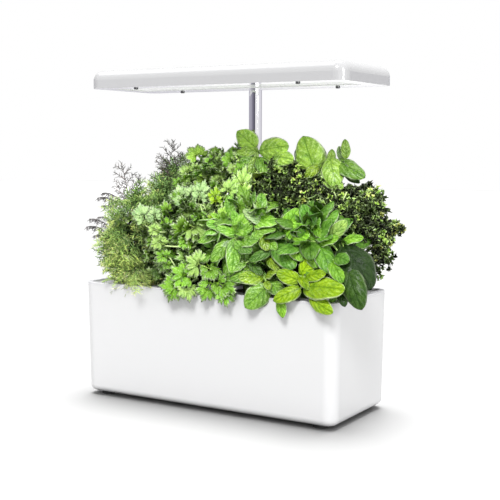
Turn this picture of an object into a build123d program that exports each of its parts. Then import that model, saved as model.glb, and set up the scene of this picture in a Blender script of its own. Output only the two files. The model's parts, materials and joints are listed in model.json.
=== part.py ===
from build123d import *
import os
from math import cos, pi, radians, sin

# ---------------------------------------------------------------------------
# Countertop hydroponic garden, millimetres.
# Frame: +X along the tank, -Y to the front, +Z up. The origin is on the
# surface that the rubber feet stand on, under the middle of the tank.
# ---------------------------------------------------------------------------

# Tank
TANK_L = 350.0          # outer length at the rim
TANK_W = 140.0          # outer width at the rim
FOOT_H = 4.0            # the rubber feet hold the tank this far off the table
WALL_TOP = 138.5        # the tank's wall ends here and the deck's rim sits on it
RIM_TOP = 142.0         # top of the deck's rim
TAPER = 1.7             # each side draws in this much towards the base
CORNER_R = 14.0
BASE_R = 8.0            # rounding along the base
WALL = 2.5
FLOOR_Z = FOOT_H + WALL

# Feet
FOOT_R = 8.5
FOOT_X, FOOT_Y = 150.0, 53.0
FOOT_IN = 1.0           # how far each foot sits in its recess

# Deck
DECK_TOP = 139.5        # the recessed floor that the pods sit on
DECK_T = 2.5
SKIRT_L, SKIRT_W, SKIRT_R = 344.0, 134.0, 11.0
SKIRT_Z = 131.0
RECESS_L, RECESS_W, RECESS_R = 338.0, 128.0, 8.0

# Pods
POD_X = (-126.0, -42.0, 42.0, 126.0)
POD_Y = (-30.0, 30.0)
POD_HOLE_R = 18.0
CUP_FLANGE_R, CUP_FLANGE_T = 21.0, 2.0
CUP_TOP_R, CUP_LOW_R = 17.5, 14.0
CUP_WALL = 1.5
CUP_BOTTOM = 95.0
SPONGE_TOP = 140.5

# Fill port and water float
PORT_X, PORT_Y, PORT_R = 0.0, -38.0, 15.0
FLOAT_X, FLOAT_Y = -84.0, 0.0

# Telescopic mast: three tubes, each 0.08 mm clear of its guide
MAST_X, MAST_Y = 0.0, 53.0
RUN = 0.08
OUTER_R, OUTER_BORE = 10.5, 9.5
MIDDLE_R, MIDDLE_BORE = 9.0, 8.45
INNER_R, INNER_BORE = 8.0, 7.2
OUTER_Z = (52.0, 217.5)
MIDDLE_Z = (104.0, 255.0)
INNER_Z = (232.0, 394.0)
BUSH_L = 20.0
LEAD_R = 4.5            # the coiled lead inside the mast

# Lamp hood
HOOD_L, HOOD_W, HOOD_H = 350.0, 130.0, 22.0
HOOD_Y = 10.0           # the hood's middle stands this far behind the tank's
HOOD_Z = 380.0
HOOD_R = 14.0
SHOULDER_R = 12.0
HOOD_WALL = 2.0
TRAY_T = 2.5
LENS_Y = 2.0
LENS_L, LENS_W = 320.0, 68.0
WINDOW_L, WINDOW_W = 312.0, 60.0
LED_Z = 386.0           # underside of the LED board
CONTROL_Z = 389.4       # underside of the control board
SCREW_X = 112.0
SCREW_Y = (-42.0, 56.0)
BUTTON_X, BUTTON_Y, BUTTON_R = 20.0, 30.0, 5.0
JACK_X, JACK_Z = -40.0, 386.2

# Pump
PUMP_Y = (28.0, 59.0)
PUMP_X = 20.0
PUMP_Z = (10.0, 44.0)
ROTOR_Z = 26.0

os.makedirs("parts", exist_ok=True)


def save(builder, name):
    builder.part.label = name
    export_step(builder.part, f"parts/{name}.step")


def save_copy(builder, name, x, y):
    piece = builder.part.moved(Location((x, y, 0)))
    piece.label = name
    export_step(piece, f"parts/{name}.step")


# ---------------------------------------------------------------------------
# Tank
# ---------------------------------------------------------------------------
with BuildPart() as tank_shell:
    with BuildSketch(Plane.XY.offset(FOOT_H)):
        RectangleRounded(TANK_L - 2 * TAPER, TANK_W - 2 * TAPER, CORNER_R)
    with BuildSketch(Plane.XY.offset(WALL_TOP)):
        RectangleRounded(TANK_L, TANK_W, CORNER_R)
    loft()
    fillet(tank_shell.faces().sort_by(Axis.Z)[0].edges(), BASE_R)
    with BuildSketch(Plane.XY.offset(FLOOR_Z)):
        RectangleRounded(
            TANK_L - 2 * TAPER - 2 * WALL, TANK_W - 2 * TAPER - 2 * WALL, CORNER_R - WALL
        )
    with BuildSketch(Plane.XY.offset(WALL_TOP)):
        RectangleRounded(TANK_L - 2 * WALL, TANK_W - 2 * WALL, CORNER_R - WALL)
    loft(mode=Mode.SUBTRACT)
    fillet(
        tank_shell.edges().filter_by_position(Axis.Z, FLOOR_Z - 0.01, FLOOR_Z + 0.01),
        BASE_R - WALL,
    )
    # shallow recesses that locate the feet
    with BuildSketch(Plane.XY.offset(FOOT_H)):
        with GridLocations(2 * FOOT_X, 2 * FOOT_Y, 2, 2):
            Circle(FOOT_R)
    extrude(amount=FOOT_IN, mode=Mode.SUBTRACT)
save(tank_shell, "tank_shell")

with BuildPart() as rubber_feet:
    with BuildSketch(Plane.XY):
        with GridLocations(2 * FOOT_X, 2 * FOOT_Y, 2, 2):
            Circle(FOOT_R)
    extrude(amount=FOOT_H + FOOT_IN)
    chamfer(rubber_feet.edges().group_by(Axis.Z)[0], 0.8)
save(rubber_feet, "rubber_feet")

# ---------------------------------------------------------------------------
# Deck: rim on the tank's wall, skirt inside it, a recessed floor with holes
# ---------------------------------------------------------------------------
with BuildPart() as deck_plate:
    with BuildSketch(Plane.XY.offset(WALL_TOP)):
        RectangleRounded(TANK_L, TANK_W, CORNER_R)
    extrude(amount=RIM_TOP - WALL_TOP)
    fillet(deck_plate.edges().group_by(Axis.Z)[-1], 1.5)
    with BuildSketch(Plane.XY.offset(DECK_TOP)):
        RectangleRounded(RECESS_L, RECESS_W, RECESS_R)
    extrude(amount=RIM_TOP, mode=Mode.SUBTRACT)
    with BuildSketch(Plane.XY.offset(SKIRT_Z)):
        RectangleRounded(SKIRT_L, SKIRT_W, SKIRT_R)
    extrude(amount=WALL_TOP - SKIRT_Z)
    with BuildSketch(Plane.XY.offset(SKIRT_Z)):
        RectangleRounded(SKIRT_L - 5, SKIRT_W - 5, SKIRT_R - 2.5)
    extrude(amount=DECK_TOP - DECK_T - SKIRT_Z, mode=Mode.SUBTRACT)
    # neck of the fill port, under the floor
    with BuildSketch(Plane.XY.offset(DECK_TOP - DECK_T - 7)):
        with Locations((PORT_X, PORT_Y)):
            Circle(PORT_R + 2)
    extrude(amount=7)
    # screw bosses under the mast's base
    with BuildSketch(Plane.XY.offset(DECK_TOP - DECK_T - 7)):
        with Locations((MAST_X - 14.5, MAST_Y), (MAST_X + 14.5, MAST_Y)):
            Circle(3.4)
    extrude(amount=7)
    # through holes
    with BuildSketch(Plane.XY.offset(SKIRT_Z - 5)):
        with Locations(*[(x, y) for x in POD_X for y in POD_Y]):
            Circle(POD_HOLE_R)
        with Locations((PORT_X, PORT_Y)):
            Circle(PORT_R)
        with Locations((MAST_X, MAST_Y)):
            Circle(OUTER_R + 0.1)
        with Locations((FLOAT_X, FLOAT_Y)):
            Circle(5.0)
        with Locations((MAST_X - 14.5, MAST_Y), (MAST_X + 14.5, MAST_Y)):
            Circle(1.5)
    extrude(amount=30, mode=Mode.SUBTRACT)
save(deck_plate, "deck_plate")

with BuildPart() as mast_base:
    with BuildSketch(Plane.XY.offset(DECK_TOP)):
        with Locations((MAST_X, 51.0)):
            RectangleRounded(38.0, 25.4, 5.0)
    extrude(amount=13.0)
    fillet(mast_base.edges().group_by(Axis.Z)[-1], 2.0)
    with BuildSketch(Plane.XY.offset(DECK_TOP)):
        with Locations((MAST_X, MAST_Y)):
            Circle(OUTER_R)
        with Locations((MAST_X - 14.5, MAST_Y), (MAST_X + 14.5, MAST_Y)):
            Circle(1.5)
    extrude(amount=20, mode=Mode.SUBTRACT)
    with BuildSketch(Plane.XY.offset(DECK_TOP + 6)):
        with Locations((MAST_X - 14.5, MAST_Y), (MAST_X + 14.5, MAST_Y)):
            Circle(2.9)
    extrude(amount=20, mode=Mode.SUBTRACT)
save(mast_base, "mast_base")

with BuildPart() as mast_base_screws:
    with BuildSketch(Plane.XY.offset(DECK_TOP - DECK_T - 6)):
        with Locations((MAST_X - 14.5, MAST_Y), (MAST_X + 14.5, MAST_Y)):
            Circle(1.5)
    extrude(amount=DECK_T + 12)
    with BuildSketch(Plane.XY.offset(DECK_TOP + 6)):
        with Locations((MAST_X - 14.5, MAST_Y), (MAST_X + 14.5, MAST_Y)):
            Circle(2.7)
    extrude(amount=2.2)
    fillet(mast_base_screws.edges().group_by(Axis.Z)[-1], 0.8)
    with BuildSketch(Plane.XY.offset(DECK_TOP + 7.2)):
        with Locations((MAST_X - 14.5, MAST_Y), (MAST_X + 14.5, MAST_Y)):
            Rectangle(3.0, 0.8)
            Rectangle(0.8, 3.0)
    extrude(amount=2, mode=Mode.SUBTRACT)
save(mast_base_screws, "mast_base_screws")

# ---------------------------------------------------------------------------
# Fill port cap and water level float
# ---------------------------------------------------------------------------
with BuildPart() as fill_cap:
    with BuildSketch(Plane.XY.offset(DECK_TOP)):
        with Locations((PORT_X, PORT_Y)):
            Circle(PORT_R + 3)
    extrude(amount=2.5)
    fillet(fill_cap.edges().group_by(Axis.Z)[-1], 0.8)
    with BuildSketch(Plane.XY.offset(DECK_TOP - 5)):
        with Locations((PORT_X, PORT_Y)):
            Circle(PORT_R - 0.25)
            Circle(PORT_R - 2.25, mode=Mode.SUBTRACT)
    extrude(amount=5)
    # a bar across the top to pull it by
    with BuildSketch(Plane.XY.offset(DECK_TOP + 2.5)):
        with Locations((PORT_X, PORT_Y)):
            SlotOverall(20.0, 4.0)
    extrude(amount=4.0)
    fillet(fill_cap.edges().group_by(Axis.Z)[-1], 1.0)
save(fill_cap, "fill_cap")

with BuildPart() as float_guide:
    with BuildSketch(Plane.XY.offset(DECK_TOP)):
        with Locations((FLOAT_X, FLOAT_Y)):
            Circle(7.5)
    extrude(amount=1.5)
    with BuildSketch(Plane.XY.offset(DECK_TOP - 12)):
        with Locations((FLOAT_X, FLOAT_Y)):
            Circle(5.0)
    extrude(amount=12)
    with BuildSketch(Plane.XY.offset(DECK_TOP - 12)):
        with Locations((FLOAT_X, FLOAT_Y)):
            Circle(2.5 + RUN)
    extrude(amount=20, mode=Mode.SUBTRACT)
save(float_guide, "float_guide")

with BuildPart() as water_float:
    with BuildSketch(Plane.XY.offset(66.0)):
        with Locations((FLOAT_X, FLOAT_Y)):
            Circle(12.0)
    extrude(amount=16)
    fillet(water_float.edges(), 3.0)
    with BuildSketch(Plane.XY.offset(80.0)):
        with Locations((FLOAT_X, FLOAT_Y)):
            Circle(2.5)
    extrude(amount=64)
    fillet(water_float.edges().group_by(Axis.Z)[-1], 1.2)
save(water_float, "water_float")

# ---------------------------------------------------------------------------
# Mast: outer tube in the deck, middle tube, inner tube in the hood
# ---------------------------------------------------------------------------
with BuildPart() as mast_outer_tube:
    with BuildSketch(Plane.XY.offset(OUTER_Z[0])):
        with Locations((MAST_X, MAST_Y)):
            Circle(OUTER_R)
            Circle(OUTER_BORE, mode=Mode.SUBTRACT)
    extrude(amount=OUTER_Z[1] - OUTER_Z[0])
save(mast_outer_tube, "mast_outer_tube")

with BuildPart() as mast_outer_collar:
    with BuildSketch(Plane.XY.offset(OUTER_Z[1] - 7.5)):
        with Locations((MAST_X, MAST_Y)):
            Circle(OUTER_R + 2)
            Circle(OUTER_R, mode=Mode.SUBTRACT)
    extrude(amount=7.5)
    with BuildSketch(Plane.XY.offset(OUTER_Z[1])):
        with Locations((MAST_X, MAST_Y)):
            Circle(OUTER_R + 2)
            Circle(MIDDLE_R + RUN, mode=Mode.SUBTRACT)
    extrude(amount=2.5)
    fillet(
        mast_outer_collar.edges().group_by(Axis.Z)[-1].sort_by(SortBy.LENGTH)[-1], 1.0
    )
save(mast_outer_collar, "mast_outer_collar")

with BuildPart() as mast_middle_tube:
    with BuildSketch(Plane.XY.offset(MIDDLE_Z[0])):
        with Locations((MAST_X, MAST_Y)):
            Circle(MIDDLE_R)
            Circle(MIDDLE_BORE, mode=Mode.SUBTRACT)
    extrude(amount=MIDDLE_Z[1] - MIDDLE_Z[0])
save(mast_middle_tube, "mast_middle_tube")

with BuildPart() as mast_middle_bush:
    with BuildSketch(Plane.XY.offset(MIDDLE_Z[0])):
        with Locations((MAST_X, MAST_Y)):
            Circle(OUTER_BORE - RUN)
            Circle(MIDDLE_R, mode=Mode.SUBTRACT)
    extrude(amount=BUSH_L)
save(mast_middle_bush, "mast_middle_bush")

with BuildPart() as mast_middle_collar:
    with BuildSketch(Plane.XY.offset(MIDDLE_Z[1] - 5)):
        with Locations((MAST_X, MAST_Y)):
            Circle(MIDDLE_R + 1.8)
            Circle(MIDDLE_R, mode=Mode.SUBTRACT)
    extrude(amount=5)
    with BuildSketch(Plane.XY.offset(MIDDLE_Z[1])):
        with Locations((MAST_X, MAST_Y)):
            Circle(MIDDLE_R + 1.8)
            Circle(INNER_R + RUN, mode=Mode.SUBTRACT)
    extrude(amount=2.5)
    fillet(
        mast_middle_collar.edges().group_by(Axis.Z)[-1].sort_by(SortBy.LENGTH)[-1], 0.9
    )
save(mast_middle_collar, "mast_middle_collar")

with BuildPart() as mast_inner_tube:
    with BuildSketch(Plane.XY.offset(INNER_Z[0])):
        with Locations((MAST_X, MAST_Y)):
            Circle(INNER_R)
            Circle(INNER_BORE, mode=Mode.SUBTRACT)
    extrude(amount=INNER_Z[1] - INNER_Z[0])
save(mast_inner_tube, "mast_inner_tube")

with BuildPart() as mast_inner_bush:
    with BuildSketch(Plane.XY.offset(INNER_Z[0])):
        with Locations((MAST_X, MAST_Y)):
            Circle(MIDDLE_BORE - RUN)
            Circle(INNER_R, mode=Mode.SUBTRACT)
    extrude(amount=BUSH_L)
save(mast_inner_bush, "mast_inner_bush")

# coiled lead from the pump's gland up to the hood, inside the three tubes
with BuildPart() as mast_lead:
    with BuildSketch(Plane.XY.offset(PUMP_Z[1] + 3)):
        with Locations((MAST_X, MAST_Y)):
            Circle(2.0)
    extrude(amount=12)
    with BuildSketch(Plane.XY.offset(PUMP_Z[1] + 15)):
        with Locations((MAST_X, MAST_Y)):
            Circle(LEAD_R)
    extrude(amount=384.0 - PUMP_Z[1] - 15)
save(mast_lead, "mast_lead")

# ---------------------------------------------------------------------------
# Pump, hung under the mast's outer tube
# ---------------------------------------------------------------------------
PUMP_MID = (PUMP_Y[0] + PUMP_Y[1]) / 2
PUMP_DEEP = PUMP_Y[1] - PUMP_Y[0]
with BuildPart() as pump_housing:
    with BuildSketch(Plane.XY.offset(PUMP_Z[0])):
        with Locations((0, PUMP_MID)):
            RectangleRounded(2 * PUMP_X, PUMP_DEEP, 3.0)
    extrude(amount=PUMP_Z[1] - PUMP_Z[0])
    fillet(pump_housing.edges().group_by(Axis.Z)[-1], 1.5)
    # gland where the lead enters
    with BuildSketch(Plane.XY.offset(PUMP_Z[1] - 1)):
        with Locations((MAST_X, MAST_Y)):
            Circle(3.5)
    extrude(amount=4)
    # rotor cavity, open to the front
    with BuildSketch(Plane.XZ.offset(-PUMP_Y[0])):
        with Locations((0, ROTOR_Z)):
            Circle(7.5)
    extrude(amount=-22.5, mode=Mode.SUBTRACT)
    # seat of the shaft
    with BuildSketch(Plane.XZ.offset(-PUMP_Y[0] - 22.5)):
        with Locations((0, ROTOR_Z)):
            Circle(1.0)
    extrude(amount=-3.0, mode=Mode.SUBTRACT)
save(pump_housing, "pump_housing")

with BuildPart() as pump_cover:
    with BuildSketch(Plane.XZ.offset(-PUMP_Y[0] + 12)):
        with Locations((0, ROTOR_Z)):
            RectangleRounded(32.0, 31.0, 8.0)
    extrude(amount=-12)
    # impeller chamber
    with BuildSketch(Plane.XZ.offset(-PUMP_Y[0] + 9)):
        with Locations((0, ROTOR_Z)):
            Circle(12.0)
    extrude(amount=-9, mode=Mode.SUBTRACT)
    # four intake holes round a hub that holds the shaft's front end
    with BuildSketch(Plane.XZ.offset(-PUMP_Y[0] + 12)):
        with Locations((0, ROTOR_Z)):
            with PolarLocations(4.6, 4):
                Circle(1.7)
    extrude(amount=-4, mode=Mode.SUBTRACT)
    with BuildSketch(Plane.XZ.offset(-PUMP_Y[0] + 11)):
        with Locations((0, ROTOR_Z)):
            Circle(1.0)
    extrude(amount=-3, mode=Mode.SUBTRACT)
    # outlet nozzle, straight up
    with BuildSketch(Plane.XY.offset(ROTOR_Z + 14)):
        with Locations((0, PUMP_Y[0] - 5)):
            Circle(4.0)
    extrude(amount=16)
    with BuildSketch(Plane.XY.offset(ROTOR_Z + 9)):
        with Locations((0, PUMP_Y[0] - 5)):
            Circle(2.6)
    extrude(amount=30, mode=Mode.SUBTRACT)
save(pump_cover, "pump_cover")

with BuildPart() as pump_filter:
    with BuildSketch(Plane.XZ.offset(-PUMP_Y[0] + 15)):
        with Locations((0, ROTOR_Z)):
            RectangleRounded(28.0, 27.0, 7.0)
    extrude(amount=-3)
    with BuildSketch(Plane.XZ.offset(-PUMP_Y[0] + 15)):
        with Locations((0, ROTOR_Z)):
            with GridLocations(0, 3.6, 1, 5):
                SlotOverall(18.0, 1.8)
    extrude(amount=-3, mode=Mode.SUBTRACT)
save(pump_filter, "pump_filter")

with BuildPart() as pump_shaft:
    with BuildSketch(Plane.XZ.offset(-PUMP_Y[0] + 10.8)):
        with Locations((0, ROTOR_Z)):
            Circle(1.0)
    extrude(amount=-(10.8 + 22.5 + 2.8))
save(pump_shaft, "pump_shaft")

with BuildPart() as pump_rotor:
    # magnet
    with BuildSketch(Plane.XZ.offset(-PUMP_Y[0] - 1)):
        with Locations((0, ROTOR_Z)):
            Circle(6.7)
    extrude(amount=-20.5)
    # impeller disc and six blades
    with BuildSketch(Plane.XZ.offset(-PUMP_Y[0] + 3)):
        with Locations((0, ROTOR_Z)):
            Circle(10.0)
    extrude(amount=-2)
    with BuildSketch(Plane.XZ.offset(-PUMP_Y[0] + 3)):
        with Locations((0, ROTOR_Z)):
            Circle(3.2)
    extrude(amount=-5)
    with BuildSketch(Plane.XZ.offset(-PUMP_Y[0] + 7)):
        with Locations((0, ROTOR_Z)):
            Circle(2.6)
            with PolarLocations(5.6, 6):
                Rectangle(8.0, 1.2)
    extrude(amount=-5)
    with BuildSketch(Plane.XZ.offset(-PUMP_Y[0] + 20)):
        with Locations((0, ROTOR_Z)):
            Circle(1.0 + RUN)
    extrude(amount=-60, mode=Mode.SUBTRACT)
save(pump_rotor, "pump_rotor")

with BuildPart() as pump_bracket:
    # plate over the pump, with a hole for the gland and the lead
    with BuildSketch(Plane.XY.offset(PUMP_Z[1] + 3.2)):
        with Locations((0, 46.0)):
            RectangleRounded(48.0, 32.0, 3.0)
    extrude(amount=OUTER_Z[0] - PUMP_Z[1] - 3.2)
    # socket round the end of the outer tube
    with BuildSketch(Plane.XY.offset(OUTER_Z[0])):
        with Locations((MAST_X, MAST_Y)):
            Circle(OUTER_R + 2)
    extrude(amount=12)
    with BuildSketch(Plane.XY.offset(OUTER_Z[0])):
        with Locations((MAST_X, MAST_Y)):
            Circle(OUTER_R)
    extrude(amount=20, mode=Mode.SUBTRACT)
    with BuildSketch(Plane.XY.offset(PUMP_Z[1])):
        with Locations((MAST_X, MAST_Y)):
            Circle(6.5)
    extrude(amount=20, mode=Mode.SUBTRACT)
    # arms down both sides of the pump, hooked under it
    with BuildSketch(Plane.XY.offset(7.6)):
        with Locations((-(PUMP_X + 2.1), 44.0), (PUMP_X + 2.1, 44.0)):
            Rectangle(3.6, 18.0)
    extrude(amount=OUTER_Z[0] - 7.6)
    with BuildSketch(Plane.XY.offset(7.6)):
        with Locations((-(PUMP_X - 1.5), 44.0), (PUMP_X - 1.5, 44.0)):
            Rectangle(9.0, 18.0)
    extrude(amount=2.1)
save(pump_bracket, "pump_bracket")

# ---------------------------------------------------------------------------
# Pods: a slotted cup, a sponge plug and a plant in each deck hole
# ---------------------------------------------------------------------------
with BuildPart() as net_cup:
    with BuildSketch(Plane.XY.offset(CUP_BOTTOM)):
        Circle(CUP_LOW_R)
    with BuildSketch(Plane.XY.offset(DECK_TOP)):
        Circle(CUP_TOP_R)
    loft()
    with BuildSketch(Plane.XY.offset(DECK_TOP)):
        Circle(CUP_FLANGE_R)
    extrude(amount=CUP_FLANGE_T)
    fillet(net_cup.edges().group_by(Axis.Z)[-1], 0.8)
    with BuildSketch(Plane.XY.offset(CUP_BOTTOM + 2)):
        Circle(CUP_LOW_R - CUP_WALL)
    with BuildSketch(Plane.XY.offset(DECK_TOP + CUP_FLANGE_T)):
        Circle(CUP_TOP_R - CUP_WALL + 0.15)
    loft(mode=Mode.SUBTRACT)
    # six slots down the side and a ring of holes in the base
    with BuildSketch(Plane.XY.offset(CUP_BOTTOM + 6)):
        with PolarLocations(14.0, 6):
            Rectangle(14.0, 4.0)
    extrude(amount=30.0, mode=Mode.SUBTRACT)
    with BuildSketch(Plane.XY.offset(CUP_BOTTOM)):
        with PolarLocations(7.0, 6, start_angle=30):
            Circle(1.8)
    extrude(amount=3.0, mode=Mode.SUBTRACT)

with BuildPart() as grow_sponge:
    with BuildSketch(Plane.XY.offset(CUP_BOTTOM + 2.5)):
        Circle(CUP_LOW_R - CUP_WALL - 0.6)
    with BuildSketch(Plane.XY.offset(SPONGE_TOP)):
        Circle(CUP_TOP_R - CUP_WALL - 0.6)
    loft()

# Each plant is a stem that rises from its sponge and carries leaf tiers:
# (z, x from, x to, y from, y to). The tiers mark how far its foliage reaches,
# and each plant keeps to its own cell, clear of the others and of the mast.
GAP = 0.4
TIER_T = 3.0
STEM_R = 3.0
PLANTS = {
    "dill": (1, -126, -30, 262, [
        (166, -186, -90, -78, -6), (196, -222, -88, -92, -4),
        (226, -216, -86, -88, -4), (252, -196, -90, -74, -8)]),
    "flat_parsley": (2, -42, -30, 286, [
        (160, -80, -4, -90, -6), (190, -82, -2, -95, -4),
        (224, -82, -2, -88, -2), (256, -80, -4, -72, -4), (280, -72, -12, -56, -8)]),
    "basil_front": (3, 42, -30, 270, [
        (160, 4, 80, -92, -6), (190, 2, 82, -95, -4),
        (222, 2, 82, -84, -2), (252, 6, 78, -66, -6)]),
    "dark_basil": (4, 126, -30, 250, [
        (162, 88, 196, -90, -6), (190, 86, 218, -92, -4),
        (220, 86, 214, -80, -4), (244, 90, 196, -60, -8)]),
    "thyme": (5, -126, 30, 292, [
        (170, -200, -92, 6, 80), (206, -216, -88, 4, 92),
        (240, -206, -86, 4, 88), (274, -178, -90, 6, 70)]),
    "coriander": (6, -42, 30, 308, [
        (176, -80, -20, 6, 66), (214, -82, -16, 4, 84),
        (252, -82, -16, 4, 84), (286, -78, -16, 6, 70), (304, -66, -20, 8, 56)]),
    "basil_back": (7, 42, 30, 329, [
        (176, 20, 80, 6, 66), (214, 16, 82, 4, 84),
        (256, 16, 82, 4, 84), (296, 16, 82, 6, 72), (324, 18, 76, 10, 60)]),
    "curly_parsley": (8, 126, 30, 318, [
        (170, 90, 204, 6, 84), (210, 86, 216, 4, 92),
        (250, 86, 216, 4, 92), (288, 88, 196, 6, 80), (312, 92, 168, 8, 60)]),
}

for plant_name, (n, sx, sy, top, tiers) in PLANTS.items():
    save_copy(net_cup, f"net_cup_{n}", sx, sy)
    save_copy(grow_sponge, f"grow_sponge_{n}", sx, sy)
    with BuildPart() as plant:
        with BuildSketch(Plane.XY.offset(SPONGE_TOP)):
            with Locations((sx, sy)):
                Circle(STEM_R)
        extrude(amount=top - SPONGE_TOP)
        for z, x0, x1, y0, y1 in tiers:
            with BuildSketch(Plane.XY.offset(z)):
                with Locations(((x0 + x1) / 2, (y0 + y1) / 2)):
                    RectangleRounded(x1 - x0, y1 - y0, 14.0)
            extrude(amount=TIER_T)
    save(plant, plant_name)

# ---------------------------------------------------------------------------
# Lamp hood
# ---------------------------------------------------------------------------
with BuildPart() as hood_cavity:
    with BuildSketch(Plane.XY.offset(HOOD_Z - 1)):
        with Locations((0, HOOD_Y)):
            RectangleRounded(
                HOOD_L - 2 * HOOD_WALL, HOOD_W - 2 * HOOD_WALL, HOOD_R - HOOD_WALL
            )
    extrude(amount=HOOD_H - HOOD_WALL + 1)
    fillet(hood_cavity.edges().group_by(Axis.Z)[-1], SHOULDER_R - HOOD_WALL)

with BuildPart() as hood_cover:
    with BuildSketch(Plane.XY.offset(HOOD_Z)):
        with Locations((0, HOOD_Y)):
            RectangleRounded(HOOD_L, HOOD_W, HOOD_R)
    extrude(amount=HOOD_H)
    fillet(hood_cover.edges().group_by(Axis.Z)[-1], SHOULDER_R)
    add(hood_cavity.part, mode=Mode.SUBTRACT)
    # bosses for the four screws that hold the tray
    with BuildSketch(Plane.XY.offset(HOOD_Z + TRAY_T)):
        with Locations(*[(x, y) for x in (-SCREW_X, SCREW_X) for y in SCREW_Y]):
            Circle(3.0)
    extrude(amount=HOOD_H - HOOD_WALL - TRAY_T)
    # posts that carry the control board
    with BuildSketch(Plane.XY.offset(CONTROL_Z + 1.6)):
        with Locations((-32, BUTTON_Y), (32, BUTTON_Y)):
            Circle(2.5)
    extrude(amount=HOOD_Z + HOOD_H - HOOD_WALL - CONTROL_Z - 1.6)
    # pilot holes
    with BuildSketch(Plane.XY.offset(HOOD_Z + TRAY_T)):
        with Locations(*[(x, y) for x in (-SCREW_X, SCREW_X) for y in SCREW_Y]):
            Circle(1.5)
    extrude(amount=10, mode=Mode.SUBTRACT)
    with BuildSketch(Plane.XY.offset(CONTROL_Z + 1.6)):
        with Locations((-32, BUTTON_Y), (32, BUTTON_Y)):
            Circle(1.0)
    extrude(amount=5, mode=Mode.SUBTRACT)
    # button holes
    with BuildSketch(Plane.XY.offset(HOOD_Z + HOOD_H - HOOD_WALL - 1)):
        with Locations((-BUTTON_X, BUTTON_Y), (BUTTON_X, BUTTON_Y)):
            Circle(BUTTON_R + 0.25)
    extrude(amount=5, mode=Mode.SUBTRACT)
    # hole for the power inlet in the back wall
    with BuildSketch(Plane.XZ.offset(-(HOOD_Y + HOOD_W / 2 + 1))):
        with Locations((JACK_X, JACK_Z)):
            Circle(4.1)
    extrude(amount=4, mode=Mode.SUBTRACT)
save(hood_cover, "hood_cover")

with BuildPart() as hood_tray:
    with BuildSketch(Plane.XY.offset(HOOD_Z)):
        with Locations((0, HOOD_Y)):
            RectangleRounded(
                HOOD_L - 2 * HOOD_WALL - 0.6,
                HOOD_W - 2 * HOOD_WALL - 0.6,
                HOOD_R - HOOD_WALL - 0.3,
            )
    extrude(amount=TRAY_T)
    # posts for the LED board
    with BuildSketch(Plane.XY.offset(HOOD_Z + TRAY_T)):
        with Locations(*[(x, y) for x in (-140, 0, 140) for y in (-35.0, 39.0)]):
            Circle(2.5)
    extrude(amount=LED_Z - HOOD_Z - TRAY_T)
    with BuildSketch(Plane.XY.offset(HOOD_Z + TRAY_T)):
        with Locations(*[(x, y) for x in (-140, 0, 140) for y in (-35.0, 39.0)]):
            Circle(1.0)
    extrude(amount=10, mode=Mode.SUBTRACT)
    # window, with a ledge that the lens lies on
    with BuildSketch(Plane.XY.offset(HOOD_Z)):
        with Locations((0, LENS_Y)):
            RectangleRounded(WINDOW_L, WINDOW_W, 5.0)
    extrude(amount=TRAY_T, mode=Mode.SUBTRACT)
    with BuildSketch(Plane.XY.offset(HOOD_Z + 1.0)):
        with Locations((0, LENS_Y)):
            RectangleRounded(LENS_L + 0.4, LENS_W + 0.4, 8.2)
    extrude(amount=TRAY_T - 1.0, mode=Mode.SUBTRACT)
    # mast hole and screw holes
    with BuildSketch(Plane.XY.offset(HOOD_Z)):
        with Locations((MAST_X, MAST_Y)):
            Circle(INNER_R + 0.1)
        with Locations(*[(x, y) for x in (-SCREW_X, SCREW_X) for y in SCREW_Y]):
            Circle(1.7)
        with Locations((-15.0, MAST_Y), (15.0, MAST_Y)):
            Circle(1.5)
    extrude(amount=TRAY_T, mode=Mode.SUBTRACT)
save(hood_tray, "hood_tray")

with BuildPart() as light_lens:
    with BuildSketch(Plane.XY.offset(HOOD_Z + 1.0)):
        with Locations((0, LENS_Y)):
            RectangleRounded(LENS_L, LENS_W, 8.0)
    extrude(amount=1.5)
save(light_lens, "light_lens")

with BuildPart() as led_board:
    with BuildSketch(Plane.XY.offset(LED_Z)):
        with Locations((0, LENS_Y)):
            RectangleRounded(300.0, 80.0, 3.0)
        with Locations(*[(x, y) for x in (-140, 0, 140) for y in (-35.0, 39.0)]):
            Circle(1.1, mode=Mode.SUBTRACT)
    extrude(amount=1.6)
save(led_board, "led_board")

with BuildPart() as led_packages:
    with BuildSketch(Plane.XY.offset(LED_Z - 0.8)):
        with Locations((0, LENS_Y)):
            with GridLocations(24.0, 14.0, 12, 4):
                Rectangle(3.5, 2.8)
    extrude(amount=0.8)
save(led_packages, "led_packages")

with BuildPart() as control_board:
    with BuildSketch(Plane.XY.offset(CONTROL_Z)):
        with Locations((0, 30.0)):
            RectangleRounded(74.0, 20.0, 1.5)
        with Locations((-32, BUTTON_Y), (32, BUTTON_Y)):
            Circle(1.1, mode=Mode.SUBTRACT)
    extrude(amount=1.6)
save(control_board, "control_board")

with BuildPart() as tact_switches:
    with BuildSketch(Plane.XY.offset(CONTROL_Z + 1.6)):
        with Locations((-BUTTON_X, BUTTON_Y), (BUTTON_X, BUTTON_Y)):
            Rectangle(6.0, 6.0)
    extrude(amount=2.4)
    with BuildSketch(Plane.XY.offset(CONTROL_Z + 4.0)):
        with Locations((-BUTTON_X, BUTTON_Y), (BUTTON_X, BUTTON_Y)):
            Circle(1.6)
    extrude(amount=0.6)
save(tact_switches, "tact_switches")

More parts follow.
